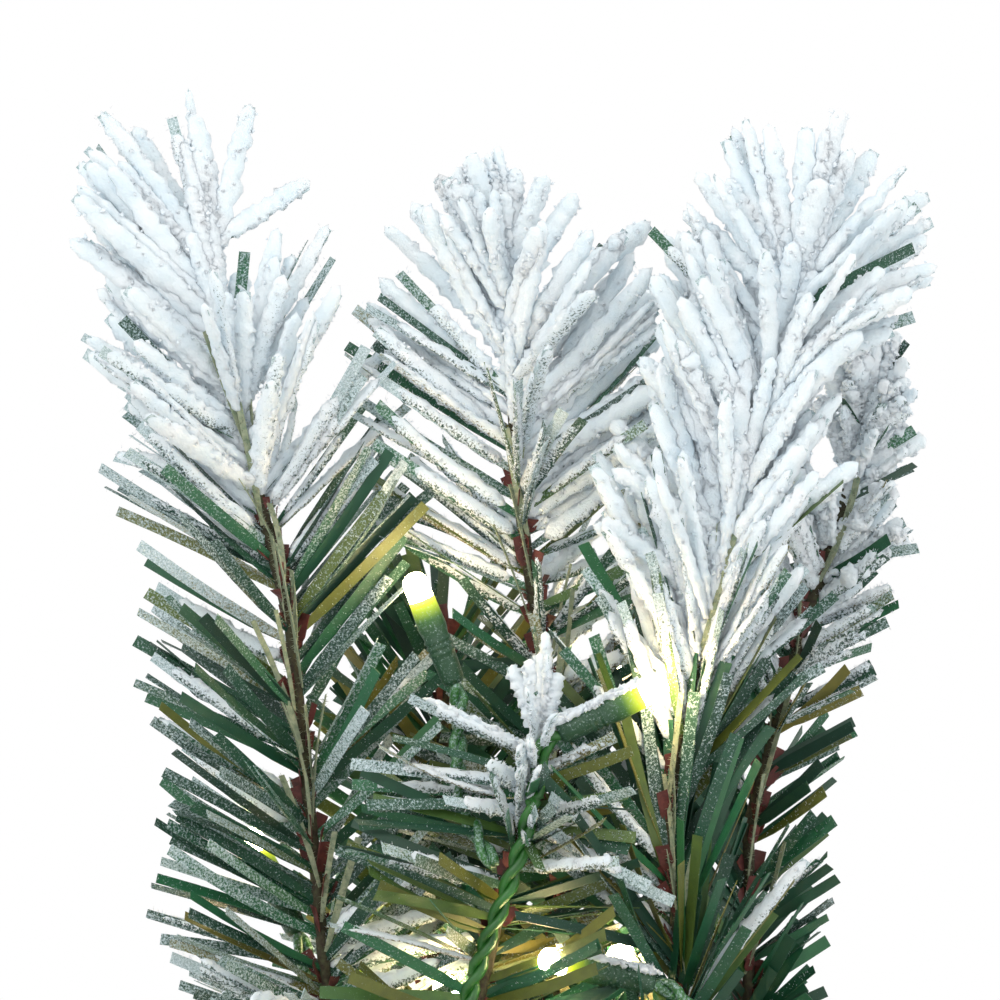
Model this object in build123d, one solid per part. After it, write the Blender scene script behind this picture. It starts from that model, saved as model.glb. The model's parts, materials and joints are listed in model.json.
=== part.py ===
from build123d import *
import os
from math import atan2, cos, degrees, radians, sin

# Flocked artificial tabletop tree with a lit crown. Millimetres, +Z up, origin on the resting face,
# on the trunk's axis, front towards -Y.

# ---- driving dimensions ----
BASE_FOOT_R = 55.0  # flat underside of the wrapped base
BASE_BELLY_R = 62.0
WRAP_THICK = 1.6
POT_WALL = 1.6
POT_H = 66.0
NECK_R = 13.5
NECK_Z = 84.0
RUFFLE_R = 29.0
RUFFLE_Z = 102.0
NECK_RUN = 4.2  # half the straight length that the twine is wound on
TWINE_R = 1.1
TWINE_PITCH = 2.3 * TWINE_R
KNOT_R = 2.2
SLEEVE_FLOOR = 3.0
SLEEVE_PROUD = 4.0  # the socket's rim above the pot's
CAST_DROP = 5.0  # the ballast's top below the pot's rim

POLE_R = 6.0
POLE_WALL = 1.0
POLE_FOOT_Z = 12.0
POLE_TOP_Z = 392.0
SLEEVE_WALL = 1.8
SLIDE_GAP = 0.06  # radial clearance of the pole in its socket

COLLAR_R = 12.0
COLLAR_H = 10.0
HINGE_R = 20.0  # hinge pin's distance from the trunk's axis
PIN_R = 1.2
PIN_GAP = 0.05
PIN_HEAD = 0.8
EYE_R = 3.5
EYE_THICK = 3.0
EAR_GAP = 3.4
EAR_THICK = 1.4
EAR_REACH = 26.5

STEM_R = 1.5
TWIG_R = 1.0
LEADER_R = 1.25
LEADER_BOUND_R = 7.35  # bound stems lie round the pole at this radius

# One row per tier: collar height, azimuths, rest elevation, branch length, foliage half width
TIERS = {
    "lower": (185.0, (54, 126, 198, 270, 342), 14.0, 168.0, 49.0),
    "middle": (255.0, (60, 150, 240, 330), 24.0, 140.0, 50.0),
    "upper": (325.0, (30, 150, 270), 36.0, 108.0, 42.0),
}
FOLIAGE_THICK = 22.0
FOLIAGE_START = 40.0

# Crown leaders: stem path above the binding, then the foliage's radius. Heights are above the resting face.
LEADERS = {
    "left": (
        ((-13, -1, 400), (-38, -2, 430), (-41, -2, 464), (-46, -2, 512), (-56, -2, 552), (-63.4, -2, 596)),
        19.0,
    ),
    "middle": (
        ((3.3, 6.6, 402), (8, 5, 440), (6.6, 4, 488), (0, 4, 535), (-2.4, 4, 570), (-2.8, 4, 596)),
        19.0,
    ),
    "right_front": (
        ((12, -8, 400), (33, -15, 434), (29, -16, 470), (39, -16, 522), (52, -16, 568), (60.6, -16, 602)),
        19.0,
    ),
    "right_back": (
        ((15, 6, 398), (46, 12, 432), (46, 12, 470), (55, 12, 504), (65, 12, 534), (71, 12, 560)),
        16.0,
    ),
    "front": (((-3, -13, 402), (-9, -20, 432), (-4, -22, 456), (4.6, -21.5, 488), (5, -21.5, 497)), 15.0),
    "back": (((-5, 12, 400), (-18, 21, 434), (-16, 23, 476), (-15, 23, 510)), 16.0),
}
LEADER_FOOT_Z = 346.0
LEADER_LEAVE_Z = 388.0
BINDING = (350.0, 385.0)
BINDING_WALL = 1.3
LEADER_BEND_R = 14.0
FOLIAGE_OVERHANG = 20.0  # needles past the end of a stem

# Lamps in the crown: tip of the light emitting diode, and the direction it points
LAMPS = (
    ((-21.6, -16, 521.5), (-8.6, -3, 22)),
    ((29, -27, 500), (20, -1, 9.5)),
    ((3.6, -30, 446), (-17, -3, 4)),
    ((21, -8, 447), (5, -12, 9)),
    ((-29, 4, 449), (4, -3, 12)),
    ((19, 14, 506), (5, 1, 14)),
    ((-16, -8, 441), (-8, -3, 14)),
    ((-55, 9, 470), (-6, 2, 12)),
)
LED_R = 2.5
LED_LENGTH = 8.6
LED_SEAT = 3.0
HUSK_R = 3.1
HUSK_TAIL_R = 1.9
HUSK_LENGTH = 18.0
CORE_R = 1.7  # the twisted pair of the light string, as one round cord
WIND_R = 14.6  # the string's distance from the trunk's axis where it winds past the upper collar

# Battery case on the back of the pole
CASE_X = 34.0
CASE_Y = (9.0, 28.0)
CASE_Z = (106.0, 172.0)
CASE_WALL = 1.5
CELL_R = 7.1
CELL_LENGTH = 50.0
CELL_X = 7.3
CELL_Y = 18.1
CELL_FOOT_Z = 113.0
DOOR_THICK = 1.6
DOOR_GAP = 0.25
SWITCH_TRAVEL = 4.0
KNOB_Y = (15.7, 18.5)
KNOB_Z = (158.0, 161.4)
CLIP_LENGTH = 26.0
CLIP_WALL = 1.8
GLAND_XY = (-1.3, 17)
GLAND_LENGTH = 7.0
GLAND_R = 3.4
GLAND_WAIST_R = 2.6
COIL_R = 2.6
SPRING_R = 0.4
PLATE = 0.5  # contact plates' thickness
NUB = 1.2  # how far a cell's positive end stands out
NUB_R = 2.7
PARTS = "parts"


def save(name, shape):
    """Writes one node's STEP file."""
    shape.label = name
    export_step(shape, f"{PARTS}/{name}.step")


def group(shapes):
    """Several separate solids as one node."""
    return Compound(children=list(shapes))


def turned(profile):
    """A solid of revolution about Z from an outline in the XZ plane, as (radius, height) points."""
    outline = Polyline([(r, 0, z) for r, z in profile], close=True)
    return revolve(make_face(outline), axis=Axis.Z)


def along(point, direction):
    """A plane at a point whose Z runs along a direction."""
    return Plane(origin=point, z_dir=Vector(*direction).normalized())


def swept_rod(points, radius, bend):
    """A round rod through points, its corners eased to at most the bend radius."""
    spots = [Vector(*p) for p in points]
    if len(spots) == 2:
        path = Line(spots[0], spots[1])
    else:
        radii = []
        for before, here, after in zip(spots, spots[1:], spots[2:]):
            turn = radians((here - before).get_angle(after - here)) / 2
            room = 0.45 * min((here - before).length, (after - here).length) / (sin(turn) / cos(turn))
            radii.append(min(bend, room) if bend else room)
        path = FilletPolyline(*spots, radius=radii)
    return sweep(Plane(origin=path @ 0, z_dir=path % 0) * Circle(radius), path=path)


# ---- base ----
def make_base():
    """Pot, cast ballast, socket sleeve, burlap wrap and its twine."""
    pot_foot_r = BASE_FOOT_R - WRAP_THICK - 2.0
    pot_rim_r = BASE_BELLY_R - WRAP_THICK - 3.0
    floor_z = WRAP_THICK + POT_WALL
    pot = turned(
        [
            (0, WRAP_THICK),
            (pot_foot_r, WRAP_THICK),
            (pot_rim_r, POT_H),
            (pot_rim_r - POT_WALL, POT_H),
            (pot_foot_r - POT_WALL, floor_z),
            (0, floor_z),
        ]
    )
    save("base_pot", pot)

    sleeve_in = POLE_R + SLIDE_GAP
    sleeve_out = sleeve_in + SLEEVE_WALL
    sleeve_foot = POLE_FOOT_Z - SLEEVE_FLOOR
    sleeve_top = POT_H + SLEEVE_PROUD
    sleeve = Cylinder(sleeve_out, sleeve_top - sleeve_foot, align=(Align.CENTER, Align.CENTER, Align.MIN))
    sleeve -= Pos(0, 0, SLEEVE_FLOOR) * Cylinder(
        sleeve_in, sleeve_top - sleeve_foot, align=(Align.CENTER, Align.CENTER, Align.MIN)
    )
    save("pole_socket", Pos(0, 0, sleeve_foot) * sleeve)

    cast_top = POT_H - CAST_DROP
    share = (cast_top - floor_z) / (POT_H - floor_z)
    top_r = pot_foot_r - POT_WALL + share * (pot_rim_r - pot_foot_r)
    ballast = turned([(0, floor_z), (pot_foot_r - POT_WALL, floor_z), (top_r, cast_top), (0, cast_top)])
    ballast -= Pos(0, 0, sleeve_foot) * Cylinder(
        sleeve_out, cast_top, align=(Align.CENTER, Align.CENTER, Align.MIN)
    )
    save("cast_ballast", ballast)

    outer = [
        (0, 0),
        (BASE_FOOT_R, 0),
        (BASE_FOOT_R + 3, 4),
        (BASE_BELLY_R, POT_H * 0.62),
        (BASE_BELLY_R - 1, POT_H),
        (BASE_BELLY_R - 12, POT_H + 6),
        (NECK_R + 5, NECK_Z - 8),
        (NECK_R, NECK_Z - NECK_RUN),
        (NECK_R, NECK_Z + NECK_RUN),
        (NECK_R + 4, NECK_Z + 9),
        (RUFFLE_R, RUFFLE_Z),
    ]
    inner = [
        (RUFFLE_R - 2, RUFFLE_Z),
        (NECK_R + 2.4, NECK_Z + 9.4),
        (NECK_R - WRAP_THICK, NECK_Z + NECK_RUN + 0.4),
        (NECK_R - WRAP_THICK, NECK_Z - NECK_RUN - 0.4),
        (NECK_R + 3.6, NECK_Z - 9.2),
        (BASE_BELLY_R - 12.6, POT_H + 4.2),
        (BASE_BELLY_R - 2.6, POT_H + 0.4),
        (BASE_BELLY_R - WRAP_THICK, POT_H * 0.62),
        (BASE_FOOT_R + 1.4, 5),
        (BASE_FOOT_R - 0.6, WRAP_THICK),
        (0, WRAP_THICK),
    ]
    save("burlap_wrap", turned(outer + inner))

    turns = [Pos(0, 0, NECK_Z + k * TWINE_PITCH) * Torus(NECK_R + TWINE_R + 0.2, TWINE_R) for k in (-1, 0, 1)]
    knot = Pos(0, -NECK_R - 2 * TWINE_R - KNOT_R - 0.2, NECK_Z) * Sphere(KNOT_R)
    save("twine_tie", group([*turns, knot]))


# ---- trunk ----
def make_trunk():
    """Steel pole, its top plug, the three hinge collars with their pins, and the crown's binding."""
    height = POLE_TOP_Z - POLE_FOOT_Z
    low = (Align.CENTER, Align.CENTER, Align.MIN)
    pole = Cylinder(POLE_R, height, align=low) - Cylinder(POLE_R - POLE_WALL, height, align=low)
    save("trunk_pole", Pos(0, 0, POLE_FOOT_Z) * pole)
    plug_z = POLE_TOP_Z
    plug = turned(
        [
            (0, plug_z - 9),
            (POLE_R - POLE_WALL, plug_z - 9),
            (POLE_R - POLE_WALL, plug_z),
            (POLE_R, plug_z),
            (POLE_R - 1, plug_z + 2.2),
            (0, plug_z + 2.2),
        ]
    )
    save("pole_plug", plug)

    pins = []
    for tier, (z, azimuths, rise, _, _) in TIERS.items():
        collar = Cylinder(COLLAR_R, COLLAR_H) - Cylinder(POLE_R, COLLAR_H)
        for azimuth in azimuths:
            collar += Rot(0, 0, azimuth) * hinge_bracket(rise)
            pins.append(Pos(0, 0, z) * Rot(0, 0, azimuth) * Pos(HINGE_R, 0, 0) * Rot(90, 0, 0) * hinge_pin())
        save(f"{tier}_collar", Pos(0, 0, z) * collar)
    save("hinge_pins", group(pins))

    low_z, high_z = BINDING
    wall_in = LEADER_BOUND_R + LEADER_R + 0.05
    tall = high_z - low_z
    binding = Cylinder(wall_in + BINDING_WALL, tall, align=low) - Cylinder(wall_in, tall, align=low)
    save("crown_binding", Pos(0, 0, low_z) * binding)


def hinge_bracket(rise):
    """Two ears and the shelf that a branch rests on, for a branch along +X."""
    ears = Part()
    root_x = COLLAR_R - 1.5
    for side in (-1, 1):
        middle = side * (EAR_GAP + EAR_THICK) / 2
        ears += Pos((root_x + EAR_REACH) / 2, middle, -0.5) * Box(EAR_REACH - root_x, EAR_THICK, 11)
    shelf = Pos(5.2, 0, -STEM_R - 0.95) * Box(2.0, EAR_GAP + EAR_THICK, 1.6)
    ears += Pos(HINGE_R, 0, 0) * Rot(0, -rise, 0) * shelf
    ears -= Pos(HINGE_R, 0, 0) * Rot(90, 0, 0) * Cylinder(PIN_R, 20)
    return ears


def hinge_pin():
    """A headed pin along Z, centred."""
    half = EAR_GAP / 2 + EAR_THICK
    pin = Cylinder(PIN_R, 2 * half)
    for side in (-1, 1):
        pin += Pos(0, 0, side * (half + PIN_HEAD / 2)) * Cylinder(PIN_R + 0.7, PIN_HEAD)
    return pin


# ---- branches ----
def branch_twigs(length, half_width):
    """Where each side twig leaves the stem, and where it ends, in the branch's own plane."""
    starts = (0.26, 0.42, 0.58, 0.74)
    reach = (0.62, 0.92, 0.9, 0.55)
    for k, (start, wide) in enumerate(zip(starts, reach)):
        for side in (-1, 1):
            begin = (start + 0.03 * side) * length
            across = (wide * half_width - 4) * side
            yield begin, (begin + abs(across) * 1.05 + 6, across, 3.0 + k)


def make_branches():
    """Each branch is a bound wire frame with an eye, and the foliage that it carries."""
    for tier, (z, azimuths, rise, length, half_width) in TIERS.items():
        frame = branch_frame(length, half_width)
        foliage = branch_foliage(length, half_width)
        for number, azimuth in enumerate(azimuths, 1):
            place = Pos(0, 0, z) * Rot(0, 0, azimuth) * Pos(HINGE_R, 0, 0) * Rot(0, -rise, 0)
            save(f"{tier}_branch_{number}_stem", place * frame)
            save(f"{tier}_branch_{number}_needles", place * foliage)


def branch_frame(length, half_width):
    """Main stem along +X from the eye round the hinge pin, with its side twigs."""
    end = length - 8
    stem = swept_rod(
        [(2.6, 0, 0), (0.35 * length, 0, 0), (0.7 * length, 0, 2.0), (end, 0, 6.0)], STEM_R, 400
    )
    eye = Rot(90, 0, 0) * Cylinder(EYE_R, EYE_THICK)
    frame = stem + eye
    for begin, tip in branch_twigs(length, half_width):
        root = (begin, 0, 0.4 if begin < 0.45 * length else 1.6)
        bend = (begin + 0.45 * (tip[0] - begin), 0.52 * tip[1], 1.2)
        frame += swept_rod([root, bend, tip], TWIG_R, 60)
    return frame - Rot(90, 0, 0) * Cylinder(PIN_R + PIN_GAP, 3 * EYE_THICK)


def branch_foliage(length, half_width):
    """The space that a branch's needles fill: a flat leaf-shaped pad."""
    half = [
        (FOLIAGE_START, 0.36 * half_width),
        (FOLIAGE_START + 20, 0.58 * half_width),
        (0.6 * length, 0.92 * half_width),
        (0.76 * length, half_width),
        (length, 0.34 * half_width),
    ]
    outline = half + [(u, -v) for u, v in reversed(half)]
    face = make_face(Polyline(outline, close=True))
    face = fillet(face.vertices(), 6)
    pad = extrude(face, FOLIAGE_THICK / 2, both=True)
    rims = pad.edges().filter_by_position(Axis.Z, FOLIAGE_THICK / 2 - 0.1, FOLIAGE_THICK / 2 + 0.1)
    rims += pad.edges().filter_by_position(Axis.Z, -FOLIAGE_THICK / 2 - 0.1, -FOLIAGE_THICK / 2 + 0.1)
    return Pos(0, 0, 2.0) * chamfer(rims, 5)


# ---- crown ----
def make_crown():
    """Upright leaders bound to the pole's top, each with its foliage."""
    for name, (points, foliage_r) in LEADERS.items():
        azimuth = atan2(points[0][1], points[0][0])
        x, y = LEADER_BOUND_R * cos(azimuth), LEADER_BOUND_R * sin(azimuth)
        path = [(x, y, LEADER_FOOT_Z), (x, y, LEADER_LEAVE_Z), *points]
        save(f"crown_{name}_stem", swept_rod(path, LEADER_R, LEADER_BEND_R))
        save(f"crown_{name}_needles", leader_foliage(points, foliage_r))


def leader_foliage(points, radius):
    """The space that a leader's needles fill: a spindle along the upper part of its stem."""
    foot, tip = Vector(*points[1]), Vector(*points[-1])
    line = tip - foot
    reach = line.length + FOLIAGE_OVERHANG
    profile = [
        (0, 0),
        (0.45 * radius, 2),
        (0.9 * radius, 0.16 * reach),
        (radius, 0.45 * reach),
        (radius, 0.8 * reach),
        (0.55 * radius, reach),
        (0, reach),
    ]
    return along(foot, tuple(line)) * turned(profile)


# ---- lights ----
def make_lamps():
    """Each lamp is a husk with a diode seated in its mouth."""
    husk_profile = [
        (0, -LED_LENGTH + LED_SEAT - HUSK_LENGTH),
        (HUSK_TAIL_R, -LED_LENGTH + LED_SEAT - HUSK_LENGTH),
        (HUSK_R, -LED_LENGTH + LED_SEAT - 9),
        (HUSK_R, -LED_LENGTH + LED_SEAT),
        (LED_R, -LED_LENGTH + LED_SEAT),
        (LED_R, -LED_LENGTH),
        (0, -LED_LENGTH),
    ]
    led_profile = [(0, -LED_LENGTH), (LED_R, -LED_LENGTH), (LED_R, -1.8), (LED_R - 0.8, -0.5), (1.0, 0), (0, 0)]
    save("lamp_husks", group([along(tip, way) * turned(husk_profile) for tip, way in LAMPS]))
    save("lamp_diodes", group([along(tip, way) * turned(led_profile) for tip, way in LAMPS]))


def husk_lead(number, clear=0.6, straight=4.4):
    """Where the wires meet a husk's tail, and the end of the short straight behind it."""
    tip, way = LAMPS[number]
    back = Vector(*way).normalized()
    tail = LED_LENGTH - LED_SEAT + HUSK_LENGTH + clear
    return [tuple(Vector(*tip) - back * (tail + more)) for more in (0, straight)]


def make_light_string():
    """The twisted pair from the battery case up the pole, then from lamp to lamp through the crown."""
    case_top = (*GLAND_XY, CASE_Z[1] + GLAND_LENGTH + 0.2)
    climb = [case_top, (-1.6, 16.5, 190), (-2.4, 14.4, 215), (-3.8, 14.2, 245), (-4.2, 14.0, 262)]
    for azimuth, z in ((125, 278), (150, 292), (180, 304), (208, 316)):
        climb.append((WIND_R * cos(radians(azimuth)), WIND_R * sin(radians(azimuth)), z))
    climb += [(-13.4, -7.4, 335), (-12, -9.6, 362), (-12, -13.5, 392), (-15, -20, 410)]
    to_first = [*climb, (-13, -28, 425), (-9.5, -31, 442), (-3, -31.5, 458), (1, -31, 470), (3.5, -30, 481)]
    runs = [
        [*to_first, *reversed(husk_lead(1))],
        [*husk_lead(0), (-12.5, -15, 488), (-12, -20, 478), (-9, -27, 470), (-5, -29, 464)],
        [*husk_lead(2), (34, -25, 435), (33, -24, 427), (27, -22, 419), (14, -21, 414), (-4, -25, 416)],
        [*husk_lead(3), (11, 14, 423), (9.5, 12, 412)],
        [*husk_lead(4), (-35, 12.5, 416), (-27, 13, 410), (-16, 12, 404)],
        [*husk_lead(5), (9.5, 12.5, 470), (12, 13, 455)],
        [*husk_lead(6), (-5, -6, 412), (-7.5, -9.5, 406)],
        [*husk_lead(7), (-44, 9, 437), (-43, 12.5, 429), (-37, 16, 421)],
    ]
    save("light_string", group([swept_rod(run, CORE_R, 0) for run in runs]))


# ---- battery case ----
def box_between(low, high):
    """A box from its lowest corner to its highest."""
    size = [b - a for a, b in zip(low, high)]
    middle = [(a + b) / 2 for a, b in zip(low, high)]
    return Pos(*middle) * Box(*size)


def make_battery_case():
    """Case with its pole clip, sliding cover, cells, contacts, board, switch and wire gland."""
    x = CASE_X / 2
    front, back = CASE_Y
    foot, top = CASE_Z
    case = box_between((-x, front, foot), (x, back, top))
    case = fillet(case.edges().filter_by(Axis.Y), 2.0)
    case -= box_between(
        (-x + CASE_WALL, front + CASE_WALL, foot + CASE_WALL), (x - CASE_WALL, back + 1, top - CASE_WALL)
    )
    clip_z = (foot + top) / 2
    clip = Cylinder(POLE_R + CLIP_WALL, CLIP_LENGTH) - Cylinder(POLE_R + 0.02, CLIP_LENGTH)
    clip = Pos(0, 0, clip_z) * clip
    clip -= Pos(0, -POLE_R - 1, clip_z) * Box(7.0, 6, 30)
    half_clip = CLIP_LENGTH / 2
    bridge = box_between((-3.5, POLE_R + 1.2, clip_z - half_clip), (3.5, front + 0.4, clip_z + half_clip))
    case = case + clip + (bridge - Pos(0, 0, clip_z) * Cylinder(POLE_R + 1.2, 30))
    slot_top = KNOB_Z[1] + SWITCH_TRAVEL + 0.4
    slot_foot = (x - CASE_WALL - 0.5, KNOB_Y[0] - 0.2, KNOB_Z[0] - 0.4)
    slot = box_between(slot_foot, (x + 1, KNOB_Y[1] + 0.2, slot_top))
    gland_hole = Pos(*GLAND_XY, top) * Cylinder(GLAND_WAIST_R, 6)
    groove_y = back - DOOR_THICK - DOOR_GAP
    mouth = box_between(
        (-x + 0.8 - DOOR_GAP, groove_y, foot + CASE_WALL), (x - 0.8 + DOOR_GAP, back + 1, top + 1)
    )
    case = case - slot - gland_hole - mouth
    save("battery_case", case)

    door = box_between(
        (-x + 0.8, groove_y + 0.1, foot + CASE_WALL + 0.1), (x - 0.8, back - 0.1, top)
    )
    grip = [
        box_between((-6, back - 0.2, z), (6, back + 0.6, z + 1.0)) for z in (158.0, 160.2, 162.4, 164.6)
    ]
    for rib in grip:
        door += rib
    save("battery_cover", door)

    cells = []
    plates = []
    for side in (-1, 1):
        cell_x = side * CELL_X
        body_foot = CELL_FOOT_Z if side > 0 else CELL_FOOT_Z + NUB
        cell = Cylinder(CELL_R, CELL_LENGTH - NUB, align=(Align.CENTER, Align.CENTER, Align.MIN))
        nub_z = CELL_LENGTH - NUB if side > 0 else -NUB
        cell += Pos(0, 0, nub_z) * Cylinder(NUB_R, NUB, align=(Align.CENTER, Align.CENTER, Align.MIN))
        cells.append(Pos(cell_x, CELL_Y, body_foot) * cell)
    cell_top = CELL_FOOT_Z + CELL_LENGTH
    floor = foot + CASE_WALL
    save("cells", group(cells))

    for cell_x, low, high in ((CELL_X, floor + 0.6, CELL_FOOT_Z), (-CELL_X, cell_top, cell_top + 4.4)):
        rise = high - low - 2 * SPRING_R
        coil = Helix(pitch=rise / 3, height=rise, radius=COIL_R)
        wire = sweep(Plane(origin=coil @ 0, z_dir=coil % 0) * Circle(SPRING_R), path=coil)
        plates.append(Pos(cell_x, CELL_Y, low + SPRING_R) * wire)
    for left, right, low in (
        (2.5, 12.5, floor),
        (-12.5, -2.5, CELL_FOOT_Z - PLATE),
        (-12.5, -4.5, cell_top + 4.5),
        (2.5, 10.5, cell_top + 0.05),
    ):
        plates.append(box_between((left, CELL_Y - 5, low), (right, CELL_Y + 5, low + PLATE)))
    save("battery_contacts", group(plates))

    board_y = front + CASE_WALL
    board = box_between((2.6, board_y + 0.3, cell_top + 1.4), (13.0, board_y + 13, cell_top + 2.6))
    chip = box_between((4.5, 14, cell_top + 2.6), (8.5, 19, cell_top + 3.8))
    save("timer_board", board + chip)

    inner_x = x - CASE_WALL
    slider = box_between((inner_x - 0.3, KNOB_Y[0], KNOB_Z[0]), (x + 2.0, KNOB_Y[1], KNOB_Z[1]))
    tongue_foot = (inner_x - 0.9, KNOB_Y[0] - 1.1, KNOB_Z[0] - 1)
    slider += box_between(tongue_foot, (inner_x - 0.2, KNOB_Y[1] + 1.1, KNOB_Z[1] + 1))
    save("switch_slider", slider)

    gland = turned(
        [
            (CORE_R + 0.05, top - CASE_WALL - 1.2),
            (GLAND_R, top - CASE_WALL - 1.2),
            (GLAND_R, top - CASE_WALL),
            (GLAND_WAIST_R, top - CASE_WALL),
            (GLAND_WAIST_R, top),
            (GLAND_R + 0.2, top),
            (GLAND_WAIST_R, top + GLAND_LENGTH),
            (CORE_R + 0.05, top + GLAND_LENGTH),
        ]
    )
    save("wire_gland", Pos(*GLAND_XY, 0) * gland)


os.makedirs(PARTS, exist_ok=True)
make_base()
make_trunk()
make_branches()
make_crown()
make_lamps()
make_light_string()
make_battery_case()
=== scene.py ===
import json
import math

import bmesh
import bpy
import numpy as np
from mathutils import Matrix, Vector


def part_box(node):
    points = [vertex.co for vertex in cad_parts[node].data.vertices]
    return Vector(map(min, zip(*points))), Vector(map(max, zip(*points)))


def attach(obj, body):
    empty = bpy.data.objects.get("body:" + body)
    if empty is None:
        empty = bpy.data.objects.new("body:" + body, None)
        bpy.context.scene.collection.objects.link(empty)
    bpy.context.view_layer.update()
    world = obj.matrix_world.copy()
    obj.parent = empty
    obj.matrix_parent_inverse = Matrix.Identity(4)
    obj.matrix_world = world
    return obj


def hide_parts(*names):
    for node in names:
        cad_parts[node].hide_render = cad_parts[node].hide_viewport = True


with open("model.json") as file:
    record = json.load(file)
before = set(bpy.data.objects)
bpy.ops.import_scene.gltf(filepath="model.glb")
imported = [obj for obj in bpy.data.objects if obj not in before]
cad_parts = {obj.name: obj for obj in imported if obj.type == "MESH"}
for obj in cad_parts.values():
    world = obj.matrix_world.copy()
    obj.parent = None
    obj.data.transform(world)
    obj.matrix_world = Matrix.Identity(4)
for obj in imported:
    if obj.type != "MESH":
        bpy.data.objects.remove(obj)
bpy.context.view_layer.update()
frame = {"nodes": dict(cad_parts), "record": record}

# Looks of the flocked tabletop tree. Metres, in the CAD frame; sizes below are in millimetres times MM.
MM = 0.001
UP = np.array([0.0, 0.0, 1.0])

# ---- driving dimensions ----
NEEDLE_WIDTH = 2.35 * MM
FILM_THICK = 0.16 * MM
FLOCK_THICK = 1.0 * MM  # half thickness of flock on a needle at a snow amount of 1
STEM_R = 1.3 * MM
HINGE_R = 20 * MM
FIBRE_LENGTH = 0.8 * MM
FIBRE_WIDTH = 0.15 * MM  # drawn coarser than real flock, which is under 0.05 mm thick
WIRE_R = 1.0 * MM
TWIST_PITCH = 12 * MM
LED_R = 2.5 * MM
LED_LENGTH = 8.6 * MM
HUSK_LENGTH = 18 * MM
LED_SEAT = 3 * MM  # how far a diode sits in its husk
HUSK_BACK = LED_LENGTH - LED_SEAT + HUSK_LENGTH  # from a diode's tip to its husk's foot
SNOW_LEAST = 0.3  # below this amount of snow a needle is only dusted
SNOW_DEEP = 0.7  # above it, flock closes over the whole needle

# Crown stems above the binding, in millimetres
LEADER_STEMS = {
    "left": (
        (-13, -1, 400), (-38, -2, 430), (-41, -2, 464), (-46, -2, 512), (-56, -2, 552), (-63.4, -2, 596),
    ),
    "middle": ((3.3, 6.6, 402), (8, 5, 440), (6.6, 4, 488), (0, 4, 535), (-2.4, 4, 570), (-2.8, 4, 596)),
    "right_front": (
        (12, -8, 400), (33, -15, 434), (29, -16, 470), (39, -16, 522), (52, -16, 568), (60.6, -16, 602),
    ),
    "right_back": ((15, 6, 398), (46, 12, 432), (46, 12, 470), (55, 12, 504), (65, 12, 534), (71, 12, 560)),
    "front": ((-3, -13, 402), (-9, -20, 432), (-4, -22, 456), (4.6, -21.5, 488), (5, -21.5, 497)),
    "back": ((-5, 12, 400), (-18, 21, 434), (-16, 23, 476), (-15, 23, 510)),
}

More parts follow.
